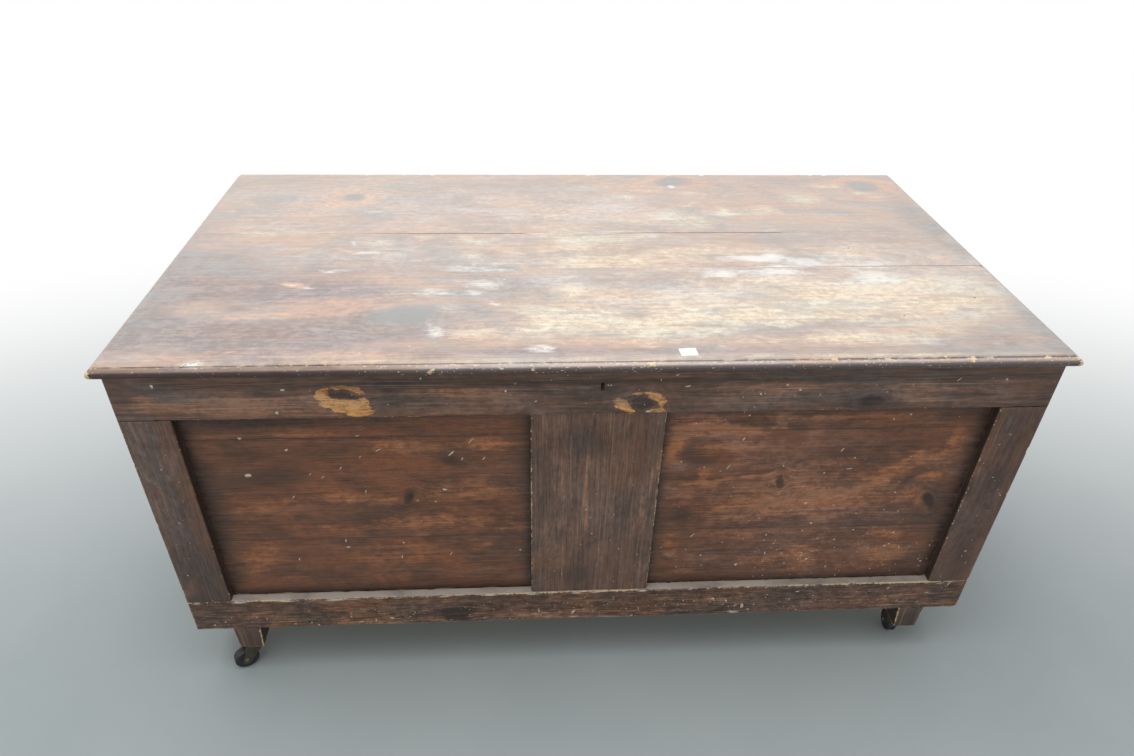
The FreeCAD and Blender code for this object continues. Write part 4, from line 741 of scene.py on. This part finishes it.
def woodMaterial(name, look):
    # Stain over growth rings and fibres, then the painted marks, whose edges streaks and mottling tear.
    material, tree, shader = newMaterial(name)
    noise, ease, mix, add, times, kept, take, most = toolsOf(tree)
    look = {key: fromScreen(*value) if isinstance(value, tuple) and len(value) == 3 else value
            for key, value in look.items()}
    grain = kept("grain", "Vector")
    fields = (noise(grain, *field) for field in woodFields.values())
    fine, broad, cloud, mottle, drifting, lines, chipping, dotting = fields
    streak = noise(grain, (look["long"], streakAcross, streakAcross), 5, .7, .2)
    turn = sumOf(tree, "FRACT", add(kept("ring"), times(streak, 1.2)))
    late = times(ease(turn, .3, .86), ease(turn, 1.0, .9))    # dark late wood, then a sudden edge
    along = add(times(broad, .35), times(streak, .65))
    colour = mix(ease(along, .5 - look["plain"], .5 + look["plain"]), look["deep"], look["light"])
    colour = mix(ease(cloud, .52, .34, 0, look["cooled"]), colour, look["cool"])
    colour = mix(ease(cloud, .48, .66, 0, look["heated"]), colour, look["heat"])
    knot = add(kept("knot"), take(add(times(cloud, 1.6), mottle), 1.3))
    alone = ease(kept("warm"), .1, .7, look["haloAlone"], 1)    # the halo's share where no warm mark lies
    colour = mix(times(ease(knot, 2.3, 1.0, 0, look["halo"]), alone), colour, look["knotHalo"])

    def torn(kind):
        # The painted amount, pushed up and down by streaks, mottling and clouds before it is cut off softly.
        low, high, *shares = look[kind + "Tear"]
        pushes = [times(take(field, .5), share) for field, share in zip((along, mottle, cloud), shares)]
        amount = kept(kind)
        pushed = add(amount, times(add(*pushes), ease(amount, .02, .4)))
        return ease(pushed, low, high, 0, look[kind + "Share"])
    drift = ease(drifting, .4, .6)
    # The marks in turn: slate holds painted shade along the frame and under the lid as well as dark stain, and
    # haze holds painted sheen as well as varnish bloom.
    for kind in ("plum", "warm", "ochre", "slate", "hazeAndSheen"):
        toned = add(streak, cloud, mottle, ease(kept(kind), 1.2, 2.8, 0, .5))
        tone = mix(ease(toned, 1.32, 1.66), look[kind + "Deep"], look[kind])
        colour = mix(torn(kind), colour, tone)
    colour = mix(1.0, colour, mix(drift, look["tintCool"], look["tintWarm"]), "MULTIPLY")
    ringed = times(late, ease(broad, .4, .6, look["late"] * .3, look["late"]))
    colour = mix(ringed, colour, look["lateTone"], "MULTIPLY")
    lined = add(ease(broad, .42, .62, .1, look["lined"]), times(kept("warm"), look["lined"]))
    colour = mix(times(ease(lines, .54, .66), lined), colour, look["line"])
    shade = times(ease(fine, .3, .72, 1 - look["fibre"], 1 + look["fibre"]),
                  ease(mottle, .32, .7, 1 - look["mottled"], 1 + look["mottled"]))
    colour = wire(tree, "ShaderNodeVectorMath", [(0, colour), ("Scale", shade)], operation="SCALE").outputs[0]
    core = times(ease(knot, 1.3, .6, 0, look["core"]), ease(mottle, .35, .6, .75, 1))
    colour = mix(core, colour, look["knotCore"])
    colour = mix(times(ringed, ease(knot, 1.6, .6, 0, look["knotRings"])), colour, look["knotHalo"])
    chalk = torn("chalk")
    colour = mix(chalk, colour, look["chalk"])
    # Painted shade: the dark edge tone on faces turned away from the board's face, in the lid's quirk and on its
    # front nose.
    colour = mix(kept("edge"), colour, look["edgeShadeTone"])
    chips = times(take(chipping, .5), 1.6)
    rubbed = ease(add(kept("worn"), chips), look["wornFrom"], look["wornFrom"] + .14)
    dots = ease(add(dotting, times(kept("worn"), .3)), .8, .86)
    worn = most(rubbed, dots)
    colour = mix(worn, colour, look["bare"])
    dusty = times(kept("dust"), ease(cloud, .3, .62, .5, .92))
    colour = mix(dusty, colour, look["dust"])
    aged = mix(ease(broad, .38, .62), look["innerDeep"], look["inner"])
    aged = mix(ease(cloud, .5, .7, 0, .55), aged, look["innerStain"])
    inner = kept("inner")
    colour = mix(inner, colour, mix(times(late, .45), aged, look["innerLate"]))
    gloss = ease(add(streak, mottle), .8, 1.2, look["roughLow"], look["roughHigh"])
    if look["dulled"]:
        dull = kept("dull")
        gloss = add(gloss, times(dull, look["dulled"]))
        tree.links.new(ease(dull, 1.0, 0.0, 0, look["coat"]), shader.inputs["Coat Weight"])
    rough = most(gloss, times(most(inner, worn, chalk, dusty), .8))
    height = take(add(times(fine, .5), times(streak, .8), times(late, .4)), worn)
    linkSurface(tree, shader, colour, rough, height, look["relief"], .4 * mm)
    shader.inputs["Coat Weight"].default_value = look["coat"]
    shader.inputs["Coat Roughness"].default_value = look["coatRough"]
    shader.inputs["Specular IOR Level"].default_value = look["shine"]
    print("  material", name)
    return material


# How each wood looks. Colours are as they look on a screen. A tear is where a mark's edge begins and ends,
# and how much streaks, mottling and clouds push it. The tints multiply the linear colour.
# The lid's pale colours hold painted reflection as well as the worn wood's tone: part of the white sheen on its
# varnish is painted into them.
lidLook = dict(
    plain=.14, light=(197, 177, 165), deep=(172, 154, 145), cool=(165, 157, 153), cooled=.75,
    heat=(199, 173, 156), heated=.6, warm=(199, 166, 147), warmDeep=(184, 158, 149), warmShare=1.0,
    ochre=(228, 216, 190), ochreDeep=(206, 190, 168), ochreShare=.95, slate=(155, 152, 150),
    slateDeep=(142, 138, 137), slateShare=.8, plum=(159, 144, 142), plumDeep=(139, 125, 123), plumShare=1.0,
    plumTear=(0, 1.0, .6, .4, .8), warmTear=(.1, 1.1, 1.2, .5, .7), ochreTear=(-.05, 1.2, 1.0, .22, .9),
    slateTear=(0, 1.1, .6, .9, .9), chalkTear=(.15, 1.25, 2.6, 1.0, .6), hazeAndSheenTear=(0, 1.0, .3, .5, .4),
    hazeAndSheen=(222, 218, 214), hazeAndSheenDeep=(210, 198, 190), hazeAndSheenShare=.5, long=12, late=.22,
    lateTone=(222, 206, 198), lined=.25, line=(212, 193, 174), fibre=.075, mottled=.1,
    tintWarm=(1.055, .985, .91, 1), tintCool=(.965, 1.01, 1.035, 1), halo=.7, haloAlone=0,
    knotHalo=(222, 176, 142), core=.9, knotRings=.2, knotCore=(146, 148, 147), chalk=(234, 233, 228),
    chalkShare=.85, wornFrom=.95, bare=(226, 200, 162), dust=(190, 184, 178), inner=(206, 176, 136),
    innerDeep=(184, 152, 114), innerLate=(158, 118, 80), innerStain=(164, 138, 110), edgeShadeTone=(64, 50, 50),
    roughLow=.3, roughHigh=.5, relief=.3, coat=.8, coatRough=.3, shine=.5, dulled=.5)
panelLook = dict(
    lidLook, plain=.16, long=8, light=(138, 94, 72), deep=(98, 68, 54), cool=(78, 64, 54), cooled=.55,
    heat=(146, 96, 68), heated=.6, warm=(186, 124, 84), warmDeep=(146, 96, 68), warmShare=.9,
    ochre=(232, 172, 106), ochreDeep=(176, 108, 58), ochreShare=1.0, hazeAndSheen=(142, 136, 138),
    hazeAndSheenDeep=(122, 114, 114), hazeAndSheenShare=.34, hazeAndSheenTear=(0, 1.0, .2, .3, .3), slate=(62, 54, 50),
    slateDeep=(50, 44, 41), slateShare=.8, plum=(92, 66, 57), plumDeep=(76, 56, 49), plumShare=.7,
    warmTear=(.1, 1.3, 1.3, .7, .6), ochreTear=(.5, .62, 2.0, 2.2, 1.2), slateTear=(0, 1.2, .8, .6, 1.1),
    late=.2, lateTone=(186, 160, 148), lined=.26, line=(156, 108, 80), fibre=.21, mottled=.15,
    knotRings=1.0, halo=.5, haloAlone=.9, knotHalo=(84, 60, 50), knotCore=(48, 40, 38), core=.8,
    chalk=(214, 206, 190), bare=(206, 180, 140), dust=(180, 172, 163), wornFrom=1.0, edgeShadeTone=(46, 39, 37),
    roughLow=.36, roughHigh=.55, coat=.12, coatRough=.4, shine=.3, dulled=0)
frameLook = dict(
    panelLook, plain=.16, light=(128, 98, 82), deep=(90, 71, 62), cool=(76, 66, 60), cooled=.6,
    heat=(130, 96, 76), warm=(164, 118, 90), warmDeep=(132, 98, 78), warmTear=(.1, 1.1, 3.6, .3, .6),
    lined=.6, line=(162, 128, 106), wornFrom=.9)
stileLook = dict(frameLook, lined=.3, plain=.22)
lowRailLook = dict(frameLook, fibre=.6, mottled=.46, lined=.85, heat=(138, 94, 66), deep=(90, 68, 55))
wallLook = dict(frameLook, lined=.35)
innerLook = dict(
    lidLook, light=lidLook["inner"], deep=lidLook["innerDeep"], cool=(176, 146, 112), heat=(204, 166, 120),
    edgeShadeTone=lidLook["innerDeep"], coat=0.0, roughLow=.6, roughHigh=.8, shine=.3, dulled=0)
woodLooks = dict(    # the look and the slot of each wood
    lid=(lidLook, "lid_wood"), panel=(panelLook, "panel_wood"), frame=(frameLook, "frame_wood"),
    wall=(wallLook, "wall_wood"), inner=(innerLook, "inner_wood"), stile=(stileLook, "frame_wood"),
    lowRail=(lowRailLook, "frame_wood"))


def seenStraight(tree):
    # 1 for the rays from the camera, also when mirrored or passed through, and 0 for the light on things.
    paths = wire(tree, "ShaderNodeLightPath").outputs
    return sumOf(tree, "MAXIMUM", *(paths[f"Is {kind} Ray"] for kind in ("Camera", "Glossy", "Transmission")))


def whitened(tree, share, shader, kind, output):
    # Pure white takes the shader's place by the share.
    white = wire(tree, kind, [("Color", (1, 1, 1, 1)), ("Strength", 1.0)])
    mixed = wire(tree, "ShaderNodeMixShader", [(0, share), (1, shader.outputs[0]), (2, white.outputs[0])])
    tree.links.new(mixed.outputs[0], tree.nodes[output].inputs["Surface"])


def frameRoom(look):
    # The pale floor, whose far part shows as white, the soft lamps and the white surroundings.
    material, tree, shader = newMaterial("floorPaint")
    place = wire(tree, "ShaderNodeTexCoord").outputs["Object"]
    mottle = noiseOf(tree, place, (3, 3, 3), 5, .6)
    colour = mixOf(tree, mottle, fromScreen(*look["floorDeep"]), fromScreen(*look["floor"]))
    tree.links.new(colour, shader.inputs["Base Color"])
    shader.inputs["Roughness"].default_value = look["floorRough"]
    stretched = vectorOf(tree, "MULTIPLY", place, look["whiteStretch"])[0]
    away = vectorOf(tree, "LENGTH", vectorOf(tree, "ADD", stretched, look["whiteShift"])[0])["Value"]
    far = easeOf(tree, away, look["whiteFrom"], look["whiteTo"])
    share = sumOf(tree, "MULTIPLY", far, seenStraight(tree))
    whitened(tree, share, shader, "ShaderNodeEmission", "Material Output")
    corners = np.array([[-1, -1, 0], [1, -1, 0], [1, 1, 0], [-1, 1, 0]]) * look["floorReach"]
    floor = meshPiece("floor", corners, np.array([[0, 1, 2, 3]]))
    floor.data.materials.append(material)

    world = bpy.data.worlds.new("surroundings")
    bpy.context.scene.world = world
    world.use_nodes = True
    tree = world.node_tree
    plain = tree.nodes["Background"]
    plain.inputs["Strength"].default_value = look["skyLevel"]
    plain.inputs["Color"].default_value = (1, 1, 1, 1)
    whitened(tree, seenStraight(tree), plain, "ShaderNodeBackground", "World Output")

    for name, lamp in look["lamps"].items():
        data = bpy.data.lights.new(name, "AREA")
        data.shape = "RECTANGLE"
        data.size, data.size_y = lamp["size"]
        data.energy = lamp["power"]
        light = bpy.data.objects.new(name, data)
        light.location = lamp["place"]
        facing = Vector(look["lampsFace"]) - light.location
        light.rotation_euler = facing.to_track_quat("-Z", "Y").to_euler()
        bpy.context.scene.collection.objects.link(light)


def placeCamera(view):
    # Down, turn and roll are the angles of the line of sight; the lens is for a film 36 mm wide.
    data = bpy.data.cameras.new("camera")
    data.sensor_width = 36
    data.lens = view["lens"]
    camera = bpy.data.objects.new("camera", data)
    down, turn, roll = (math.radians(view[angle]) for angle in ("down", "turn", "roll"))
    facing = Matrix.Rotation(-turn, 4, "Z") @ Matrix.Rotation(math.pi / 2 - down, 4, "X")
    camera.matrix_world = Matrix.Translation(view["place"]) @ facing @ Matrix.Rotation(roll, 4, "Z")
    bpy.context.scene.collection.objects.link(camera)
    bpy.context.scene.camera = camera


roomLook = dict(
    floor=(172, 181, 182), floorDeep=(154, 164, 166), floorRough=.7, floorReach=12, whiteStretch=(.7, 1, 0),
    whiteShift=(0, .9, 0), whiteFrom=.8, whiteTo=2.3, skyLevel=.42, lampsFace=(0, 0, .4),
    lamps=dict(overhead=dict(place=(-.3, -.2, 2.9), size=(2.6, 2.6), power=62),
               fill=dict(place=(-1.2, -3.2, 2.2), size=(2.2, 2.2), power=14)))
cameraView = dict(place=(-.0970, -1.1076, 1.1283), lens=25.16, down=34.967, turn=3.965, roll=1.495)

lobes = {2: .22, 3: .16}    # how far a ragged fleck bulges, by the number of its bulges
fleckLook = dict(segments=9, shares=(0, .5, .85, 1, 0), heights=(1, .85, .5, -.4, -.4), lift=.05, ragged=1)
nailLook = dict(segments=14, shares=(0, .55, .9, 1, 0), heights=(1, .94, .7, -1.2, -1.2), lift=.3, ragged=.15)
lidNailLook = dict(nailLook, lift=.08)


def onFace(name, u, v, lift):
    # World points over a worn board's face: each plan place goes to the face, lowered by the hollow there.
    origin, directions, size, wear, seed = facts[name]
    world = np.zeros((*u.shape, 3))
    world[..., 0], world[..., upAxis(directions)] = u * mm, v * mm
    local = (world - origin) @ directions.T
    local[..., 2] = size[2]
    local[..., 2] += lift * mm - waveDepth(local, wear, seed)
    return origin + local @ directions


def flecks(name, boardName, places, material, seed, look):
    # Thin spatters and scratches on a board. Each is a low closed dome: rows of a profile turned about its
    # middle, whose radius is 1 plus two cosines, drawn out along its own direction and bent by t squared.
    rng = np.random.default_rng(seed)
    x, y, radius, stretch, tilt, bend = (np.array(column)[:, None, None] for column in np.array(places).T)
    count, rows, segments = len(places), len(look["shares"]), look["segments"]
    turn = np.linspace(0, 2 * math.pi, segments, endpoint=False)[None, None, :]
    share, height = (np.array(look[key])[None, :, None] for key in ("shares", "heights"))
    phases = rng.uniform(0, 6.3, (len(lobes), count, 1, 1))
    waver = sum(size * np.cos(number * turn + phase) for (number, size), phase in zip(lobes.items(), phases))
    reach = radius * share * (1 + look["ragged"] * waver)
    along, across = reach * np.cos(turn) * stretch, reach * np.sin(turn)
    across = across + bend * (along / (radius * stretch)) ** 2
    angle = np.radians(tilt)
    u = x + along * np.cos(angle) - across * np.sin(angle)
    v = y + along * np.sin(angle) + across * np.cos(angle)
    points = onFace(boardName, u, v, look["lift"] * height * np.clip(radius, .5, 1.5) + 0 * u)
    index = np.arange(count * rows * segments).reshape(count, rows, segments)
    after = np.roll(index, -1, axis=2)
    quads = np.stack([index[:, :-1], index[:, 1:], after[:, 1:], after[:, :-1]], -1).reshape(-1, 4)
    piece = meshPiece(name, points.reshape(-1, 3), quads)
    piece.data.materials.append(material)
    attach(piece, bodyOf[nodeOf[boardName]])


# Spatters and scratches that are placed one by one: place, radius, stretch, then tilt and bend if needed.
spatterPlan = dict(
    frontBoardTop=[(-464, 466, 1.8, 1.6, 20), (-313, 467, .8, 3, 10), (204, 490, 1.2, 1.5)],
    frontBoardMiddle=[(-466, 402, 2.6, 1.6, 10), (-408, 445, 1.6, 1.6, 60), (-289, 442, .8, 6, 35),
        (-193, 434, 1, 8, 48), (-166, 455, .8, 7, 52), (-179, 424, .7, 5, 55), (-150, 424, .7, 5, 60),
        (-314, 431, .7, 4, 45), (-342, 412, 1, 2.5, 45), (-368, 396, .7, 6, 40), (-384, 402, .6, 5, 45),
        (-206, 369, 1.8, 1.8), (-314, 368, .8, 4, 70), (-413, 361, .8, 4, 60), (-245, 349, .8, 2),
        (-220, 346, .8, 2.5), (188, 400, .8, 7, 62), (344, 427, 1.5, 2.2, 70), (328, 286, 2, 1.3),
        (312, 327, 1.8, 1.4), (266, 400, 1, 2, 90), (365, 412, 1.2, 1.5), (327, 385, 1.2, 1.5, 60),
        (362, 392, .8, 5, 12)],
    frontBoardBottom=[(-354, 273, 1.4, 1.8, 80), (-352, 260, 1.5, 2.4, 8), (-272, 266, 1, 2, 80),
        (-277, 237, 1, 3, 90), (-426, 237, 1.2, 2, 80), (-103, 245, 1.3, 1.4), (-205, 241, .8, 5, 65),
        (152, 266, 1.2, 3.5, 50), (170, 223, 1.1, 2, 20), (227, 200, 2.2, 1.2), (371, 250, 1.4, 1.2),
        (460, 262, 1.4, 1.5, 40)],
    topRail=[(-403, 518, 1.8, 1.6, 70), (64, 511, 1.5, 2.6), (112, 550, 1.2, 4, 14), (-80, 530, 1, 2),
        (240, 550, 1.2, 2, 30)],
    bottomRail=[(245, 121, 3, 1.8, 85), (196, 140, 2.2, 1.2), (-327, 113, 1.4, 2.6, 80),
        (-302, 117, 2, 1.4), (-22, 118, 1, 7, 58), (-450, 110, 1.5, 1.4), (-425, 112, 1.3, 1.4, 90),
        (-350, 110, 1.6, 2.4, 5), (232, 108, 1.6, 6), (570, 158, 1, 5, 80), (556, 161, 1, 6, 5),
        (-505, 128, 1, 1.6)],
    lidFrontBoard=[(-33, -146, 1.2, 14, -97, 5), (-497, -306, 2.4, 2, 60), (-488, -302, 2, 2.5, 10),
        (-480, -304, 2.2, 1.6), (-484, -297, 1.4, 2, 30), (-492, -298, 1, 3, 20), (-474, -303, 1, 2, -20),
        (-499, -299, 1, 2, 80), (-207, -236, 3.2, 1.7, 70), (-201, -244, 2.4, 1.4),
        (-211, -246, 1.8, 1.6, 40), (-74, -279, 3, 1.8), (-64, -281, 2.2, 1.6, 20), (90, -125, .8, 7, -60),
        (-120, -96, 1.8, 1.3), (-446, -174, 1.4, 1.5), (-98, -98, .8, 3, 60), (-250, -262, 1.2, 1.5),
        (-236, -270, 1.2, 1.5), (-380, -242, 1, 1.6)],
    lidMiddleBoard=[(352, 18, .7, 24, 40), (331, 42, .7, 6, 30), (-420, -40, .8, 3, 80)],
    lidBackBoard=[(170, 168, 1.1, 11, -56), (192, 172, 1.3, 15, 50), (205, 190, .8, 8, 62),
        (112, 190, .9, 8, 66), (92, 203, 2.4, 1.4), (-87, 186, .9, 8, 68), (-80, 178, .8, 6, 80),
        (-132, 200, .8, 7, 60), (-195, 96, .9, 4, 85), (-567, 150, .9, 4, 85), (62, 178, .8, 6, 70),
        (120, 172, 1.6, 3, 74)])
strayFlecks = {    # how many more on each board, and the middle and spread of where most of them fell
    "frontBoardTop": (14, 200, 486, 260, 12), "frontBoardMiddle": (60, 330, 330, 180, 60),
    "frontBoardBottom": (190, 380, 215, 120, 34), "topRail": (70, 60, 545, 330, 22),
    "bottomRail": (330, 120, 122, 360, 20), "leftStile": (14, -568, 330, 18, 110),
    "rightStile": (22, 568, 280, 18, 90), "middlePiece": (36, 0, 240, 60, 90),
    "lidFrontBoard": (46, 60, -240, 330, 50), "lidMiddleBoard": (12, 0, 0, 300, 40),
    "lidBackBoard": (26, 60, 190, 330, 60)}
# A stray fleck's least radius and stretch, and the gamma spread of what is added to each.
strayShape = dict(radius=.35, radiusSpread=(1.4, .22), stretch=1, stretchSpread=(1.2, .5))
clearance = 3    # from a stray fleck's middle to the board's edge or to the frame


def shownPanel(x, z):
    # True where a wall board shows between the frame's members.
    uprights, *heights = panelEdges()
    inset = (1, -1) * 3    # each pair of edges is drawn together
    a, b, c, d, low, high = (edge / mm + clearance * way for edge, way in zip(uprights + heights, inset))
    return (((x > a) & (x < b)) | ((x > c) & (x < d))) & (z > low) & (z < high)


def spatter(material):
    # The named marks of each board, then stray flecks scattered about a middle, mostly round and very small.
    for number, (name, (count, x, y, spreadX, spreadY)) in enumerate(strayFlecks.items()):
        up = upAxis(facts[name][1])
        low, high = (np.array([corner.x, corner[up]]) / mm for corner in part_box(nodeOf[name]))
        margin = clearance + (noseSide["radius"] / mm if up == 1 else 0)
        rng = np.random.default_rng(700 + number)
        stray = np.stack([rng.normal(x, spreadX, count), rng.normal(y, spreadY, count),
                          strayShape["radius"] + rng.gamma(*strayShape["radiusSpread"], count),
                          strayShape["stretch"] + rng.gamma(*strayShape["stretchSpread"], count),
                          rng.uniform(0, 180, count), np.zeros(count)], -1)
        inside = (np.abs(stray[:, :2] - (low + high) / 2) < (high - low) / 2 - margin).all(1)
        if up == 2 and "Board" in name:
            inside &= shownPanel(stray[:, 0], stray[:, 1])
        named = [place + (0,) * (6 - len(place)) for place in spatterPlan.get(name, [])]
        places = np.concatenate([np.array(named).reshape(-1, 6), stray[inside]])
        flecks(name + "Spatter", name, places, material, 800 + number, fleckLook)
    print("spatter laid")


nailPlan = {
    "lidFrontBoard": [(421, -204), (542, -158)], "lidMiddleBoard": [(417, 2)],
    "backBoardBottom": [(x, z) for x in (-591, 591) for z in (146, 200, 256)],
    "backBoardMiddle": [(x, z) for x in (-591, 591) for z in (300, 366, 440)],
    "backBoardTop": [(x, z) for x in (-591, 591) for z in (486, 548)]}
for number, place in enumerate(bottomPlaces):
    rows = [(corner.y / mm + inset) for corner, inset in zip(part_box("bottom_board_" + place), (24, -24))]
    nailPlan[f"bottomBoard{number + 1}"] = [(x, y) for x in (-591, 591) for y in rows]
for name, y in (("bottomBoard1", -280), ("bottomBoard4", 295)):
    nailPlan[name] += [(x, y) for x in (-400, -240, -80, 80, 240, 400)]


def nailHeads(material):
    # Flat cut nail heads a little under 4 mm across, smaller on the lid, each just proud of the worn board.
    for number, (name, places) in enumerate(nailPlan.items()):
        rng = np.random.default_rng(900 + number)
        radius, look = (1.2, lidNailLook) if name.startswith("lid") else (1.9, nailLook)
        placed = [(x + rng.normal(0, .8), y + rng.normal(0, 2), radius, 1 + rng.uniform(0, .2),
                   rng.uniform(0, 180), 0) for x, y in places]
        flecks(name + "Nails", name, placed, material, 950 + number, look)
    print("nail heads set")


def plainMaterial(look):
    # One finish mottled between two colours, with specks of a third, its own shine and a small relief.
    material, tree, shader = newMaterial(look["name"])
    noise, ease, mix, add, times = toolsOf(tree)[:5]
    place = wire(tree, "ShaderNodeTexCoord").outputs["Object"]
    first, second, third = (fromScreen(*colour) for colour in look["colours"])
    cloud = noise(place, (look["cells"],) * 3, 5, .65, .3)
    speck = noise(place, (look["cells"] * 9,) * 3, 3, .6)
    colour = mix(ease(cloud, .36, .66), first, second)
    colour = mix(ease(speck, .56, .72, 0, look["speckled"]), colour, third)
    rough = ease(cloud, .3, .7, *look["rough"])
    linkSurface(tree, shader, colour, rough, add(cloud, times(speck, .4)), look["relief"], .3 * mm)
    shader.inputs["Metallic"].default_value = look["metal"]
    print("  material", look["name"])
    return material


# The other finishes: two colours and that of their specks, how fine and how speckled, and their shine.
rubberLook = dict(name="wheelRubber", colours=((24, 26, 31), (38, 40, 44), (96, 96, 92)), cells=70,
                  speckled=.35, rough=(.42, .62), relief=.3, metal=0.0)
casterLook = dict(name="casterSteel", colours=((92, 90, 76), (66, 62, 52), (110, 78, 52)), cells=90,
                  speckled=.5, rough=(.4, .6), relief=.3, metal=.55)
ironLook = dict(name="hingeIron", colours=((70, 66, 62), (50, 47, 45), (98, 66, 44)), cells=80, speckled=.55,
                rough=(.45, .68), relief=.5, metal=.6)
brassLook = dict(name="lockBrass", colours=((172, 146, 94), (120, 98, 62), (72, 62, 46)), cells=60,
                 speckled=.45, rough=(.28, .5), relief=.2, metal=.9)
screwLook = dict(name="screwSteel", colours=((122, 118, 112), (84, 80, 76), (104, 72, 48)), cells=120,
                 speckled=.5, rough=(.35, .55), relief=.2, metal=.8)
spatterLook = dict(name="spatterPaint", colours=((218, 210, 192), (186, 174, 152), (160, 144, 120)), cells=60,
                   speckled=.3, rough=(.55, .75), relief=.3, metal=0.0)
paperLook = dict(name="stickerPaper", colours=((238, 238, 234), (228, 227, 221), (206, 202, 192)), cells=90,
                 speckled=.3, rough=(.5, .65), relief=.15, metal=0.0)
finishes = dict(wheel_black=rubberLook, caster_steel=casterLook, hinge_iron=ironLook, lock_metal=brassLook,
                screw_steel=screwLook)
stickerPlan = dict(middle=(110.6, -290.6), size=(22.3, 17.8), rows=(27, 19), turn=4, thickness=.08)


def paperSticker(material):
    # A blank price sticker: a thin rectangular sheet that follows the hollows of the board under it.
    (x, y), (wide, deep), rows, turn, thickness = stickerPlan.values()
    spans = np.linspace(-wide / 2, wide / 2, rows[0]), np.linspace(-deep / 2, deep / 2, rows[1])
    across, up = np.meshgrid(*spans, indexing="ij")
    turn = math.radians(turn)
    u = x + across * math.cos(turn) - up * math.sin(turn)
    v = y + across * math.sin(turn) + up * math.cos(turn)
    top, bottom = (onFace("lidFrontBoard", u, v, lift + 0 * u) for lift in (thickness, 0))
    index = np.arange(u.size).reshape(u.shape)
    quads, rim = gridQuads(index), gridRim(index)
    walls = np.stack([rim + u.size, np.roll(rim, -1) + u.size, np.roll(rim, -1), rim], -1)
    points = np.concatenate([top.reshape(-1, 3), bottom.reshape(-1, 3)])
    piece = meshPiece("paperSticker", points, np.concatenate([quads, quads[:, ::-1] + u.size, walls]))
    piece.data.materials.append(material)
    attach(piece, bodyOf["lid_front_board"])


placeCamera(cameraView)
frameRoom(roomLook)
bpy.context.scene.view_settings.view_transform = "Standard"
print("camera, floor and light set")

woods = {kind: (woodMaterial(kind + "Wood", look), slot) for kind, (look, slot) in woodLooks.items()}
lidBoards()
frontBoards()
wallBoards()
smallWood()
print("boards made")

spatter(plainMaterial(spatterLook))
paperSticker(plainMaterial(paperLook))
made = {slot: plainMaterial(look) for slot, look in finishes.items()}
nailHeads(made["hinge_iron"])
for node, slot in slotOf.items():
    if slot in made:
        nodes[node].data.materials.clear()
        nodes[node].data.materials.append(made[slot])
print("metal, rubber and paper finished")
